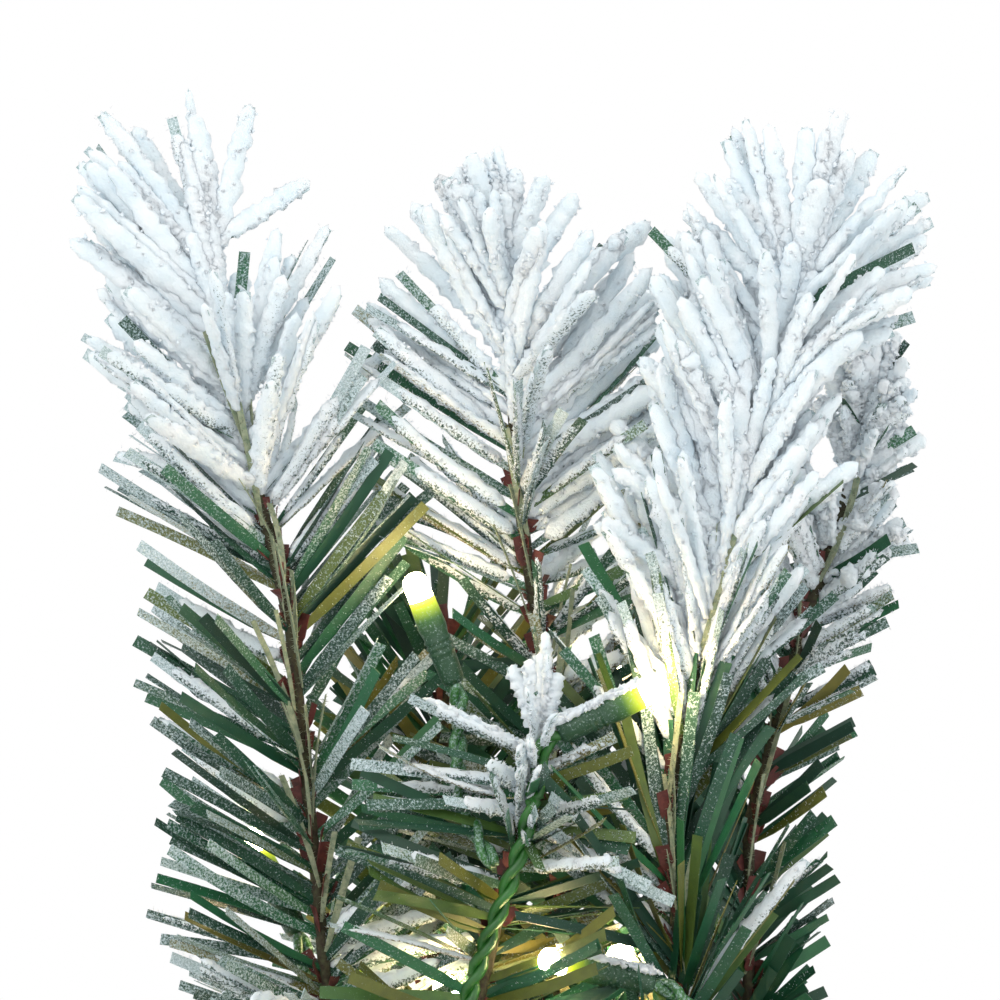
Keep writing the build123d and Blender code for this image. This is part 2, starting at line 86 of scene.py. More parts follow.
# How the needles stand along each leader, from its top down. Each row: height, then elevation, length and
# share of needles kept on the left and on the right, then the spread of elevation and the amount of snow.
LEADER_ROWS = {
    "left": (
        (592, 60, 34, 0.12, 70, 30, 0.05, 8, 1.2),
        (580, 52, 38, 0.4, 62, 32, 0.06, 6, 1.5),
        (568, 45, 38, 0.85, 60, 32, 0.1, 6, 1.5),
        (555, 39, 37, 0.9, 58, 33, 0.3, 6, 1.35),
        (543, 34, 36, 0.85, 52, 36, 0.75, 5, 1.0),
        (530, 31, 35, 0.85, 48, 37, 0.85, 5, 0.45),
        (512, 28, 35, 0.85, 47, 36, 0.85, 5, 0.1),
        (480, 26, 35, 0.9, 46, 35, 0.9, 5, 0.0),
        (450, 21, 34, 0.85, 40, 33, 0.9, 6, 0.06),
        (430, 17, 32, 0.7, 36, 32, 0.8, 6, 0.35),
        (405, 15, 28, 0.9, 30, 28, 0.8, 9, 0.25),
    ),
    "middle": (
        (590, 78, 17, 0.6, 78, 16, 0.6, 12, 1.7),
        (578, 64, 24, 0.7, 68, 22, 0.5, 8, 1.6),
        (567, 48, 31, 0.7, 50, 30, 0.5, 6, 1.45),
        (555, 36, 36, 0.8, 42, 36, 0.7, 5, 0.95),
        (542, 32, 37, 0.8, 36, 36, 0.55, 5, 0.5),
        (526, 30, 36, 0.8, 32, 35, 0.6, 5, 0.42),
        (510, 25, 32, 0.6, 30, 29, 0.6, 10, 0.3),
        (488, 15, 27, 0.8, 30, 27, 0.8, 14, 0.1),
        (460, 18, 30, 0.95, 30, 30, 0.95, 12, 0.0),
        (405, 20, 28, 0.9, 30, 28, 0.9, 12, 0.0),
    ),
    "right_front": (
        (582, 66, 29, 0.35, 60, 30, 0.35, 18, 1.4),
        (572, 48, 30, 0.6, 30, 33, 0.7, 10, 1.3),
        (560, 56, 33, 0.6, 32, 31, 0.8, 8, 1.3),
        (546, 64, 36, 0.95, 54, 31, 0.8, 8, 1.6),
        (530, 66, 35, 0.85, 55, 29, 0.7, 9, 1.3),
        (512, 70, 38, 0.85, 46, 34, 0.85, 12, 1.05),
        (494, 72, 39, 0.8, 52, 33, 0.85, 10, 0.45),
        (470, 64, 40, 0.9, 70, 37, 0.9, 12, 0.08),
        (446, 46, 39, 0.9, 68, 38, 0.9, 13, 0.05),
        (405, 35, 32, 1.0, 50, 30, 1.0, 12, 0.0),
    ),
    "right_back": (
        (562, 60, 9, 0.7, 50, 9, 0.7, 14, 1.2),
        (548, 62, 13, 0.7, 40, 13, 0.8, 10, 1.2),
        (528, 60, 18, 0.7, 26, 18, 0.85, 7, 0.9),
        (508, 58, 20, 0.8, 23, 20, 0.9, 5, 0.5),
        (490, 55, 21, 0.8, 24, 20, 0.9, 5, 0.2),
        (465, 50, 22, 0.8, 32, 20, 0.9, 6, 0.0),
        (435, 45, 24, 0.9, 38, 19, 0.9, 8, 0.0),
        (405, 30, 24, 0.9, 35, 20, 0.9, 10, 0.0),
    ),
    "front": (
        (492, 78, 10, 0.5, 78, 9, 0.5, 10, 1.3),
        (483, 10, 32, 0.5, 20, 18, 0.3, 6, 0.3),
        (474, 4, 34, 0.85, -6, 22, 0.7, 7, 0.1),
        (464, 14, 35, 0.9, 8, 26, 0.8, 8, 0.05),
        (450, 17, 34, 0.9, 14, 30, 0.8, 8, 0.0),
        (430, 12, 33, 0.9, 16, 32, 0.9, 9, 0.05),
        (408, 10, 30, 1.0, 16, 30, 1.0, 10, 0.0),
    ),
    "back": (
        (508, 66, 24, 0.8, 60, 24, 0.8, 12, 0.05),
        (490, 45, 30, 0.9, 45, 30, 0.9, 12, 0.0),
        (465, 35, 33, 1.0, 40, 32, 1.0, 10, 0.0),
        (435, 28, 32, 1.0, 32, 32, 1.0, 10, 0.0),
        (405, 25, 28, 1.0, 30, 28, 1.0, 10, 0.0),
    ),
}

# Heights above which flock hides a crown stem, and how thick it lies there
STEM_COATS = {
    "left": (548, 2.5), "middle": (556, 1.9), "right_front": (508, 2.8), "right_back": (535, 2.0),
    "front": (482, 1.2),
}

# Round clumps of flock: the height they start at, the share of needles with one, least and most radius
CLUMPS = {
    "right_back": (512, 0.9, 1.2, 2.5), "middle": (562, 0.35, 1.4, 2.6), "right_front": (528, 0.15, 1.3, 2.3),
}

# Needles that stand apart: root height, azimuth, elevation, length, amount of snow
LONE_NEEDLES = {
    "left": (
        (584, 0, 76, 31, 1.1), (587, 5, 32, 23, 1.0), (582, 180, 85, 31, 1.8), (583, 180, 73, 30, 0.6),
        (582, 180, 55, 38, 0.95), (580, 180, 47, 37, 1.6), (571, 175, 48, 43, 1.6), (566, 185, 44, 40, 1.5),
        (574, 182, 46, 40, 1.9), (577, 178, 53, 33, 1.8), (561, 180, 41, 38, 1.7), (557, 0, 62, 37, 0.8),
        (554, 355, 57, 35, 0.7), (561, 0, 84, 24, 0.24),
        (446, 355, 2, 30, 0.9), (447, 345, 14, 33, 0.7), (443, 0, 8, 30, 0.5), (451, 350, 22, 33, 0.45),
        (438, 345, 12, 32, 0.6), (434, 335, 20, 30, 0.5), (449, 330, 30, 34, 0.5),
    ),
    "middle": (
        (576, 0, 58, 25, 2.0), (567, 0, 41, 36, 1.7), (553, 0, 42, 38, 1.1), (581, 180, 83, 21, 1.9),
        (580, 180, 66, 23, 1.9), (574, 180, 50, 28, 1.7), (568, 180, 42, 33, 1.6), (545, 180, 33, 39, 0.2),
        (548, 0, 40, 37, 1.3), (542, 0, 34, 37, 1.2), (538, 5, 26, 36, 1.0), (534, 355, 33, 36, 0.85),
        (529, 0, 28, 35, 0.7), (551, 350, 36, 36, 1.3), (545, 10, 38, 37, 1.2), (541, 350, 30, 36, 1.1),
        (536, 0, 36, 36, 1.0), (531, 8, 32, 36, 0.8), (526, 350, 34, 35, 0.7), (539, 355, 38, 37, 1.2),
        (533, 345, 28, 35, 1.0),
    ),
    "right_front": (
        (576, 0, 25, 32, 1.1), (578, 0, 46, 32, 1.2), (576, 0, 36, 31, 0.8), (577, 0, 68, 31, 1.5),
        (577, 0, 84, 32, 1.6), (577, 180, 80, 33, 1.5), (577, 180, 66, 33, 1.3), (576, 180, 52, 31, 1.6),
        (575, 180, 38, 27, 1.5), (545, 180, 62, 37, 2.1), (543, 180, 70, 34, 2.0), (540, 180, 50, 30, 1.9),
        (572, 0, 16, 29, 1.1), (568, 350, 22, 30, 0.9), (563, 5, 18, 29, 0.5), (558, 355, 26, 27, 1.2),
        (453, 205, 44, 40, 0.5), (449, 212, 38, 38, 0.38), (444, 200, 41, 38, 0.32), (458, 208, 35, 34, 0.34),
        (462, 202, 48, 36, 0.4), (440, 215, 47, 39, 0.3),
        (505, 190, 60, 34, 0.7), (500, 200, 70, 32, 0.6), (498, 230, 62, 30, 0.65), (508, 215, 66, 33, 0.8),
        (494, 185, 52, 34, 0.5), (490, 240, 70, 30, 0.5),
        (528, 195, 30, 26, 1.4), (522, 190, 20, 26, 1.3), (516, 200, 35, 28, 1.2), (524, 185, 45, 30, 1.5),
        (488, 195, 58, 34, 0.7), (484, 205, 66, 33, 0.6), (480, 190, 50, 34, 0.5), (492, 175, 74, 36, 0.8),
    ),
    "front": (
        (480, 190, 8, 36, 0.32), (478, 175, 2, 35, 0.4), (476, 200, -4, 32, 0.25), (474, 165, -4, 34, 0.2),
        (490, 275, 66, 16, 0.9), (485, 255, 52, 16, 0.8), (484, 285, 40, 16, 0.9), (481, 268, 26, 17, 0.9),
        (477, 262, 34, 17, 0.8), (475, 282, 26, 17, 0.8), (471, 270, 38, 18, 0.7), (478, 240, 20, 18, 0.8),
        (474, 225, 8, 22, 0.6), (472, 320, 12, 30, 0.4), (470, 350, -22, 34, 0.45), (473, 335, -28, 32, 0.45),
        (468, 250, 44, 20, 0.5), (468, 285, 20, 17, 0.4), (466, 266, 30, 18, 0.3), (470, 275, 0, 17, 0.4),
    ),
}

# Dusting of each leader's bare needles, and the share of them cut from olive film
FROST = {"left": 0.36, "middle": 0.28, "right_front": 0.14, "right_back": 0.12, "front": 0.2, "back": 0.14}
OLIVE_SHARE = {
    "left": 0.1, "middle": 0.3, "right_front": 0.22, "right_back": 0.08, "front": 0.6, "back": 0.25,
}

# Crown lamps, in millimetres: the diode's tip, the way it points, and the snow on its husk
LAMPS = (
    ((-21.6, -16, 521.5), (-8.6, -3, 22), 0.25),
    ((29, -27, 500), (20, -1, 9.5), 1.1),
    ((3.6, -30, 446), (-17, -3, 4), 0.9),
    ((21, -8, 447), (5, -12, 9), 0.0),
    ((-29, 4, 449), (4, -3, 12), 0.2),
    ((19, 14, 506), (5, 1, 14), 0.3),
    ((-16, -8, 441), (-8, -3, 14), 0.2),
    ((-55, 9, 470), (-6, 2, 12), 0.2),
)

# Branch tiers: collar height, azimuths, rise, branch length, foliage half width
TIERS = {
    "lower": (185.0, (54, 126, 198, 270, 342), 14.0, 168.0, 49.0),
    "middle": (255.0, (60, 150, 240, 330), 24.0, 140.0, 50.0),
    "upper": (325.0, (30, 150, 270), 36.0, 108.0, 42.0),
}


# ---- small shapes, and meshes made of many of them ----
def shape_of(bm):
    """A bmesh as plain arrays: points, and each face's corners."""
    bmesh.ops.recalc_face_normals(bm, faces=bm.faces[:])
    bm.verts.index_update()
    points = np.array([v.co[:] for v in bm.verts])
    corners = np.array([v.index for f in bm.faces for v in f.verts])
    sizes = np.array([len(f.verts) for f in bm.faces])
    bm.free()
    return points, corners, sizes


def strip_shape(cuts=3):
    """A needle: a thin box, one unit wide, thick and long, cut across so that it can bend."""
    bm = bmesh.new()
    bmesh.ops.create_cube(bm, size=1.0, matrix=Matrix.Translation((0, 0, 0.5)))
    long_edges = [e for e in bm.edges if abs(e.verts[0].co.z - e.verts[1].co.z) > 0.5]
    bmesh.ops.subdivide_edges(bm, edges=long_edges, cuts=cuts, use_grid_fill=True)
    return shape_of(bm)


def ball_shape(around, along):
    """A unit ball with its poles on Z."""
    bm = bmesh.new()
    bmesh.ops.create_uvsphere(bm, u_segments=around, v_segments=along, radius=1.0)
    return shape_of(bm)


def crumb_shape():
    """An eight-sided crumb of flock."""
    bm = bmesh.new()
    for axis in (Vector((1, 0, 0)), Vector((0, 1, 0)), Vector((0, 0, 1))):
        bm.verts.new(axis)
        bm.verts.new(-axis)
    bmesh.ops.convex_hull(bm, input=bm.verts[:])
    return shape_of(bm)


def fibre_shape():
    """A three-sided spike along Z, from its foot to one unit high."""
    bm = bmesh.new()
    bmesh.ops.create_cone(bm, cap_ends=True, segments=3, radius1=0.5, radius2=0.0, depth=1.0)
    bmesh.ops.translate(bm, verts=bm.verts[:], vec=(0, 0, 0.5))
    return shape_of(bm)


STRIP = strip_shape()
FINGER = ball_shape(8, 15)
FINE_FINGER = ball_shape(8, 28)
SHORT_FINGER = ball_shape(6, 6)
CRUMB = crumb_shape()
FIBRE = fibre_shape()
CLUMP = ball_shape(9, 7)


class Gathering:
    """Many placed copies of small shapes, joined into one mesh, with a value at each point."""

    def __init__(self):
        self.points, self.corners, self.sizes, self.smooth, self.first = [], [], [], [], 0
        self.values = {"tint": [], "frost": []}

    def add(self, shape, points, tint, frost, smooth=True):
        """points holds a copy per row; tint and frost hold one value per copy, or one per point."""
        copies, per = points.shape[:2]
        if copies == 0:
            return
        starts = self.first + per * np.arange(copies)
        self.points.append(points.reshape(-1, 3))
        self.corners.append((shape[1][None, :] + starts[:, None]).ravel())
        self.sizes.append(np.tile(shape[2], copies))
        self.smooth.append(np.full(len(shape[2]) * copies, smooth))
        for name, value in (("tint", tint), ("frost", frost)):
            value = np.asarray(value, float)
            value = value[:, None] if value.ndim == 1 else value
            self.values[name].append(np.broadcast_to(value, (copies, per)).ravel())
        self.first += copies * per

    def build(self, name, material):
        points, corners = np.concatenate(self.points), np.concatenate(self.corners)
        sizes = np.concatenate(self.sizes)
        mesh = bpy.data.meshes.new(name)
        mesh.vertices.add(len(points))
        mesh.vertices.foreach_set("co", points.astype(np.float32).ravel())
        mesh.loops.add(len(corners))
        mesh.loops.foreach_set("vertex_index", corners.astype(np.int32))
        mesh.polygons.add(len(sizes))
        mesh.polygons.foreach_set("loop_start", (np.cumsum(sizes) - sizes).astype(np.int32))
        mesh.update(calc_edges=True)
        mesh.polygons.foreach_set("use_smooth", np.concatenate(self.smooth))
        for layer, values in self.values.items():
            data = mesh.attributes.new(layer, "FLOAT", "POINT").data
            data.foreach_set("value", np.concatenate(values).astype(np.float32))
        return linked(name, mesh, material)


def linked(name, mesh, material):
    """A mesh as an object at the origin, in the scene, with its finish."""
    made = bpy.data.objects.new(name, mesh)
    bpy.context.scene.collection.objects.link(made)
    mesh.materials.append(material)
    return made


def object_of(name, bm, material):
    """A finished bmesh as an object."""
    mesh = bpy.data.meshes.new(name)
    bm.to_mesh(mesh)
    bm.free()
    return linked(name, mesh, material)


# ---- directions and paths ----
def unit(vectors):
    return vectors / np.maximum(np.linalg.norm(vectors, axis=-1, keepdims=True), 1e-12)


def level(turn):
    """Level directions at angles from +X."""
    return np.stack([np.cos(turn), np.sin(turn), 0 * turn], 1)


def raised(out, rise):
    """Level directions tilted up by an angle."""
    return unit(out * np.cos(rise)[:, None] + UP * np.sin(rise)[:, None])


def reach_of(line):
    """The distance along a line at each of its points."""
    return np.concatenate(([0], np.cumsum(np.linalg.norm(np.diff(line, axis=0), axis=1))))


def places_at(line, reach, at):
    """Values along a line at given distances."""
    return np.stack([np.interp(at, reach, line[:, k]) for k in range(3)], 1)


def walk(points, step):
    """Evenly spaced places and directions along an eased line through points."""
    line = np.asarray(points, float)
    reach = reach_of(line)
    eased = places_at(line, reach, np.linspace(0, reach[-1], 200))
    for _ in range(30):
        eased[1:-1] = (eased[:-2] + 2 * eased[1:-1] + eased[2:]) / 4
    reach = reach_of(eased)
    at = np.arange(step / 2, reach[-1], step)
    return places_at(eased, reach, at), unit(places_at(np.gradient(eased, axis=0), reach, at)), at / reach[-1]


# ---- needles ----
class Needles:
    """Arrays that describe needles: root, direction, side, bend, twist, length, width, tint, frost, snow."""

    FIELDS = ("root", "way", "side", "bend", "twist", "length", "width", "tint", "frost", "snow")

    def __init__(self, **fields):
        self.__dict__.update(fields)

    @classmethod
    def joined(cls, groups):
        return cls(**{f: np.concatenate([getattr(g, f) for g in groups]) for f in cls.FIELDS})

    def pick(self, chosen):
        return Needles(**{f: getattr(self, f)[chosen] for f in self.FIELDS})

    def placed(self, matrix):
        """The same needles, turned and moved by a matrix."""
        turn, move = np.array(matrix.to_3x3()), np.array(matrix.to_translation())
        fields = {f: getattr(self, f) for f in self.FIELDS}
        for f in ("root", "way", "side", "bend"):
            fields[f] = fields[f] @ turn.T
        fields["root"] = fields["root"] + move
        return Needles(**fields)

    def frames(self, s):
        """Places, side and normal directions at shares s of the length; s has one row per needle."""
        s3, long = s[..., None], self.length[:, None, None]
        place = self.root[:, None] + self.way[:, None] * s3 * long + self.bend[:, None] * s3**2 * long
        normal = np.cross(self.way, self.side)
        turn = self.twist[:, None, None] * s3
        side = self.side[:, None] * np.cos(turn) + normal[:, None] * np.sin(turn)
        other = normal[:, None] * np.cos(turn) - self.side[:, None] * np.sin(turn)
        return place, side, other


def stand(rng, root, way, stem_way, length, snow, tint, flat=1.0, frost=0.24):
    """Needles at given roots and directions, with their small accidents."""
    count = len(root)
    across = unit(np.cross(stem_way, way) + 1e-6)
    side = unit(np.cross(across, way))
    tilt = rng.normal(0, 0.75 * flat, count)[:, None]
    side = unit(side * np.cos(tilt) + across * np.sin(tilt))
    bend = UP * rng.uniform(-0.05, 0.11, count)[:, None] + rng.normal(0, 0.035, (count, 3))
    return Needles(
        root=root, way=way, side=side, bend=bend, twist=rng.normal(0, 0.35, count), length=length,
        width=NEEDLE_WIDTH * rng.uniform(0.88, 1.08, count), tint=tint,
        frost=np.clip(frost + 0.55 * snow + rng.normal(0, 0.13, count), 0.03, 1.0), snow=snow,
    )


def leader_needles(rng, name):
    """Needles of one crown leader, in pairs as the film is cut, standing as its rows say."""
    places, ways, _ = walk(np.array(LEADER_STEMS[name]) * MM, 0.85 * MM)
    rows = np.array(LEADER_ROWS[name], float)[::-1]
    keep = (places[:, 2] < rows[-1, 0] * MM) & (places[:, 2] > (rows[0, 0] - 6) * MM)
    places, ways = places[keep], ways[keep]
    height = places[:, 2] / MM
    now = [np.interp(height, rows[:, 0], rows[:, k]) for k in range(1, 9)]
    rise_l, long_l, share_l, rise_r, long_r, share_r, spread, snow = now
    count = len(places)
    right = rng.random(count) < 0.5
    keep = rng.random(count) < np.where(right, share_r, share_l)
    azimuth = np.where(right, 0.0, np.pi) + rng.normal(0, 0.55, count)
    loose = rng.random(count) < 0.16
    azimuth = np.where(loose, rng.uniform(0, 2 * np.pi, count), azimuth)
    groups = []
    for twin in range(2):
        turn = azimuth + (rng.normal(0, 0.16, count) if twin else 0)
        c = np.cos(turn)
        rise = (rise_l + rise_r) / 2 + (rise_r - rise_l) / 2 * c + 8 * (1 - np.abs(c))
        rise = np.radians(rise + rng.normal(0, 1, count) * spread)
        long = ((long_l + long_r) / 2 + (long_r - long_l) / 2 * c) * rng.uniform(0.9, 1.06, count)
        long = long * (1 - 0.2 * (1 - np.abs(c))) * MM
        out = level(turn)
        way = raised(out, rise)
        root = places + out * STEM_R * 0.7 + ways * rng.uniform(-0.4, 0.4, (count, 1)) * MM
        thick = snow * rng.lognormal(0, 0.25, count) + rng.normal(0, 0.07, count)
        luck = rng.random(count)
        # a few bare needles carry flock, and a few flocked ones have shed theirs
        thick = np.where((luck < 0.05) & (snow < 0.5), thick + 0.5, thick)
        thick = np.where((luck > 0.94) & (snow > 0.5), 0.24, thick)
        olive = rng.random(count) < OLIVE_SHARE[name] * np.clip((575 - height) / 60, 0, 1)
        tint = np.where(olive, rng.uniform(0.68, 1.0, count), rng.beta(1.6, 2.4, count) * 0.62)
        made = stand(rng, root, way, ways, long, np.clip(thick, 0, 2.4), tint, frost=FROST[name])
        groups.append(made.pick(keep & (rng.random(count) < (1.0 if twin == 0 else 0.75))))
    if name in LONE_NEEDLES:
        z, turn, rise, long, thick = np.array(LONE_NEEDLES[name], float).T
        turn, rise = np.radians(turn), np.radians(rise)
        at = np.argmin(np.abs(height[None, :] - z[:, None]), axis=1)
        tint = rng.uniform(0.1, 0.5, len(z))
        made = stand(rng, places[at], raised(level(turn), rise), ways[at], long * MM, thick, tint, 0.4)
        made.bend = made.bend * 0.5
        groups.append(made)
    return Needles.joined(groups)


def branch_paths(length, half_width):
    """The main stem and side twigs of a branch, in its own frame, in metres."""
    end = length - 8
    yield np.array([(22, 0, 0), (0.35 * length, 0, 0), (0.7 * length, 0, 2), (end, 0, 6)]) * MM, True
    starts = (0.26, 0.42, 0.58, 0.74)
    reach = (0.62, 0.92, 0.9, 0.55)
    for k, (start, wide) in enumerate(zip(starts, reach)):
        for hand in (-1, 1):
            begin = (start + 0.03 * hand) * length
            across = (wide * half_width - 4) * hand
            tip = (begin + abs(across) * 1.05 + 6, across, 3.0 + k)
            root = (begin, 0, 0.4 if begin < 0.45 * length else 1.6)
            bend = (begin + 0.45 * (tip[0] - begin), 0.52 * tip[1], 1.2)
            yield np.array([root, bend, tip]) * MM, False


def branch_needles(rng, length, half_width):
    """Needles of one branch in its own frame, flattened as they come out of the box."""
    groups = []
    for path, main in branch_paths(length, half_width):
        places, ways, share = walk(path, 1.25 * MM)
        count = len(places)
        fade = np.clip((1 - share) * 4, 0, 1)
        for _ in range(2):
            turn = rng.uniform(0, 2 * np.pi, count)
            flat = rng.random(count) < 0.55
            turn = np.where(flat, rng.choice([0, np.pi], count) + rng.normal(0, 0.5, count), turn)
            sweep = np.radians(np.where(fade < 1, 14 + 30 * fade, 46) + rng.normal(0, 7, count))
            left = unit(np.cross(UP, ways))
            over = np.cross(ways, left)
            out = left * np.cos(turn)[:, None] + over * np.sin(turn)[:, None] * 0.62
            way = unit(ways * np.cos(sweep)[:, None] + out * np.sin(sweep)[:, None])
            long = rng.uniform(21, 27, count) * (0.82 + 0.18 * fade) * (1.0 if main else 0.92) * MM
            root = places + out * STEM_R * 0.6
            outer = np.clip((root[:, 0] / MM / length - 0.25) / 0.7, 0, 1)
            snow = (0.12 + 0.75 * outer**1.5) * rng.lognormal(-0.1, 0.5, count) * (0.75 + 0.35 * np.sin(turn))
            olive = rng.random(count) < 0.14
            tint = np.where(olive, rng.uniform(0.68, 0.95, count), rng.beta(1.6, 2.4, count) * 0.62)
            made = stand(rng, root, way, ways, long, np.clip(snow, 0, 1.5), tint)
            groups.append(made.pick(rng.random(count) < 0.92))
    return Needles.joined(groups)


# ---- film and flock ----
def film(name, needles, material):
    """The needles themselves, as flat strips with square-cut ends."""
    across, thick, along = STRIP[0].T
    count = len(needles.length)
    s = np.broadcast_to(along, (count, len(along)))
    place, side, other = needles.frames(s)
    waist = 0.55 + 0.45 * np.clip(s * 5, 0, 1)
    points = place + side * (across * needles.width[:, None] * waist)[..., None]
    points = points + other * (thick * FILM_THICK)[None, :, None]
    points = points + other * ((np.abs(across) - 0.25) * 0.35 * MM)[None, :, None]
    frost = needles.frost[:, None] * (0.75 + 0.4 * s)
    gathered = Gathering()
    gathered.add(STRIP, points, needles.tint, np.clip(frost, 0, 1), smooth=False)
    return gathered.build(name, material)


def ragged(rng, shape, count, rough):
    """A roughness for each point of each copy, with a shared part for each ring."""
    rings = np.round(shape[0][:, 2] * 40).astype(int)
    _, ring = np.unique(rings, return_inverse=True)
    by_ring = rng.normal(0, 0.075, (count, ring.max() + 1))[:, ring]
    return 1 + by_ring + rng.normal(0, rough, (count, len(ring)))


def coat_sizes(needles):
    """For each needle: the flock's half depth, the half width it is laid on, and how far it is lifted."""
    snow = needles.snow
    depth = FLOCK_THICK * np.minimum(snow, 1.0 + 0.5 * (snow - 1))
    wide = needles.width * 0.5 * np.clip(0.4 + snow, 0.5, 1.0)
    return depth, wide, np.clip(0.75 - 0.35 * snow, 0.15, 0.6) * depth


def flock_fingers(rng, gathered, needles, shape):
    """Flock that has grown round each needle, thicker on its upper side."""
    x, y, z = shape[0].T
    z = 1 - 2 * np.arccos(np.clip(z, -1, 1)) / np.pi
    count = len(needles.length)
    deep = needles.snow > SNOW_DEEP
    begin = np.where(deep, -0.04, rng.uniform(0.0, 0.2, count))
    finish = np.where(deep, rng.uniform(0.99, 1.04, count), rng.uniform(0.7, 1.03, count))
    s = begin[:, None] + (finish - begin)[:, None] * (z[None, :] + 1) / 2
    place, side, other = needles.frames(s)
    ring = np.hypot(x, y)
    body = np.where(ring > 1e-6, (1 - np.abs(z) ** 9) ** 0.5 / np.maximum(ring, 1e-6), 0)
    depth, wide, lift = (size[:, None] for size in coat_sizes(needles))
    wide = wide + 0.8 * depth
    calm = 1.2 / np.maximum(needles.snow, 1.2)[:, None]
    swell = (1 + (ragged(rng, shape, count, 0.18) - 1) * calm) * (1.1 - 0.2 * s)
    across, along = x * body * wide * swell, y * body * depth * swell
    points = place + side * across[..., None] + other * along[..., None] + UP * lift[..., None]
    upper = (side[..., 2] * x + other[..., 2] * y) / np.maximum(ring, 0.3)
    cover = np.clip(0.45 + 0.42 * needles.snow[:, None] + 0.32 * upper, 0, 1)
    gathered.add(shape, points, needles.tint, cover)
    return begin, finish


def skin(needles, s, angle):
    """Places on the flock's surface, or on the bare film, and the way out from there."""
    place, side, other = (a[:, 0] for a in needles.frames(s[:, None]))
    coated = needles.snow > SNOW_LEAST
    depth, wide, lift = coat_sizes(needles)
    wide = wide + np.where(coated, 0.8 * depth, 0)
    lift = np.where(coated, lift, 0)
    depth = np.where(coated, depth, FILM_THICK / 2)
    c, w = np.cos(angle)[:, None], np.sin(angle)[:, None]
    spot = place + side * c * wide[:, None] + other * w * depth[:, None] + UP * lift[:, None]
    return spot, unit(side * c * 0.8 + other * w)


def random_turns(rng, count):
    """Random directions, each with two others square to it."""
    a = unit(rng.normal(0, 1, (count, 3)))
    b = unit(np.cross(a, rng.normal(0, 1, (count, 3))))
    return a, b, np.cross(a, b)


def crumbs(rng, gathered, needles, begin, finish, each):
    """Crumbs of flock on the fingers, which break up their outline."""
    who = np.repeat(np.arange(len(needles.length)), each)
    chosen = needles.pick(who)
    s = begin[who] + (0.95 * finish - begin)[who] * rng.random(len(who)) ** 0.85
    spot, out = skin(chosen, s, rng.uniform(0, 2 * np.pi, len(who)))
    spot = spot - out * 0.12 * MM
    size = rng.uniform(0.25, 0.62, len(who)) * MM * np.clip(0.6 + 0.4 * chosen.snow, 0.6, 1.3)
    a, b, c = random_turns(rng, len(who))
    x, y, z = CRUMB[0].T[:, None, :, None]
    grain = size[:, None, None]
    points = spot[:, None] + grain * (a[:, None] * x * 1.2 + b[:, None] * y + c[:, None] * z * 0.8)
    gathered.add(CRUMB, points, chosen.tint, np.ones(len(who)), smooth=False)


def fibres(rng, gathered, needles, each, long=1.0, spread=0.5):
    """Short fibres of flock that stand on the needles' faces and edges, most of them on the upper side."""
    who = np.repeat(np.arange(len(needles.length)), each)
    chosen = needles.pick(who)
    count = len(who)
    s = rng.uniform(0.03, 1.0, count)
    angle = rng.uniform(0, 2 * np.pi, count)
    spot, out = skin(chosen, s, angle)
    flip = (out[:, 2] < -0.2) & (rng.random(count) < 0.65)
    angle = np.where(flip, -angle, angle)
    spot, out = skin(chosen, s, angle)
    way = unit(out + UP * 0.35 + rng.normal(0, spread, (count, 3)))
    b = unit(np.cross(way, rng.normal(0, 1, (count, 3))))
    c = np.cross(way, b)
    reach = FIBRE_LENGTH * long * rng.uniform(0.4, 1.2, count) * (0.55 + 0.6 * chosen.frost)
    x, y, z = FIBRE[0].T[:, None, :, None]
    thick = FIBRE_WIDTH * rng.uniform(0.8, 1.6, count)[:, None, None]
    points = spot[:, None] + way[:, None] * z * reach[:, None, None]
    points = points + thick * (b[:, None] * x + c[:, None] * y)
    gathered.add(FIBRE, points, chosen.tint, np.full(count, 1.0))


def clumps(rng, gathered, needles, share, low, high):
    """Round clumps of flock near the ends of some needles."""
    chosen = needles.pick(rng.random(len(needles.length)) < share)
    count = len(chosen.length)
    s = rng.uniform(0.3, 0.92, count)
    place = chosen.frames(s[:, None])[0][:, 0]
    radius = rng.uniform(low, high, count) * MM
    a, b, c = random_turns(rng, count)
    swell = ragged(rng, CLUMP, count, 0.17)[..., None] * radius[:, None, None]
    x, y, z = CLUMP[0].T[:, None, :, None]
    points = place[:, None] + UP * 0.3 * radius[:, None, None]
    points = points + swell * (a[:, None] * x + b[:, None] * y * 0.9 + c[:, None] * z * 0.8)
    gathered.add(CLUMP, points, chosen.tint, np.full(count, 0.95))


def stem_coat(rng, points, above, radius):
    """Short fingers of flock that close over a stem above a height, all in millimetres."""
    places, ways, _ = walk(np.array(points) * MM, 4.5 * MM)
    kept = places[:, 2] > above * MM
    places, ways = places[kept] - ways[kept] * 5 * MM, ways[kept]
    count = len(places)
    thick = radius * np.clip(np.linspace(0.7, 1.6, count), 0.7, 1.0) * rng.uniform(0.9, 1.1, count)
    way = unit(ways + rng.normal(0, 0.09, (count, 3)))
    made = stand(rng, places, way, ways, np.full(count, 19 * MM), thick, np.zeros(count))
    made.bend = made.bend * 0.3
    return made


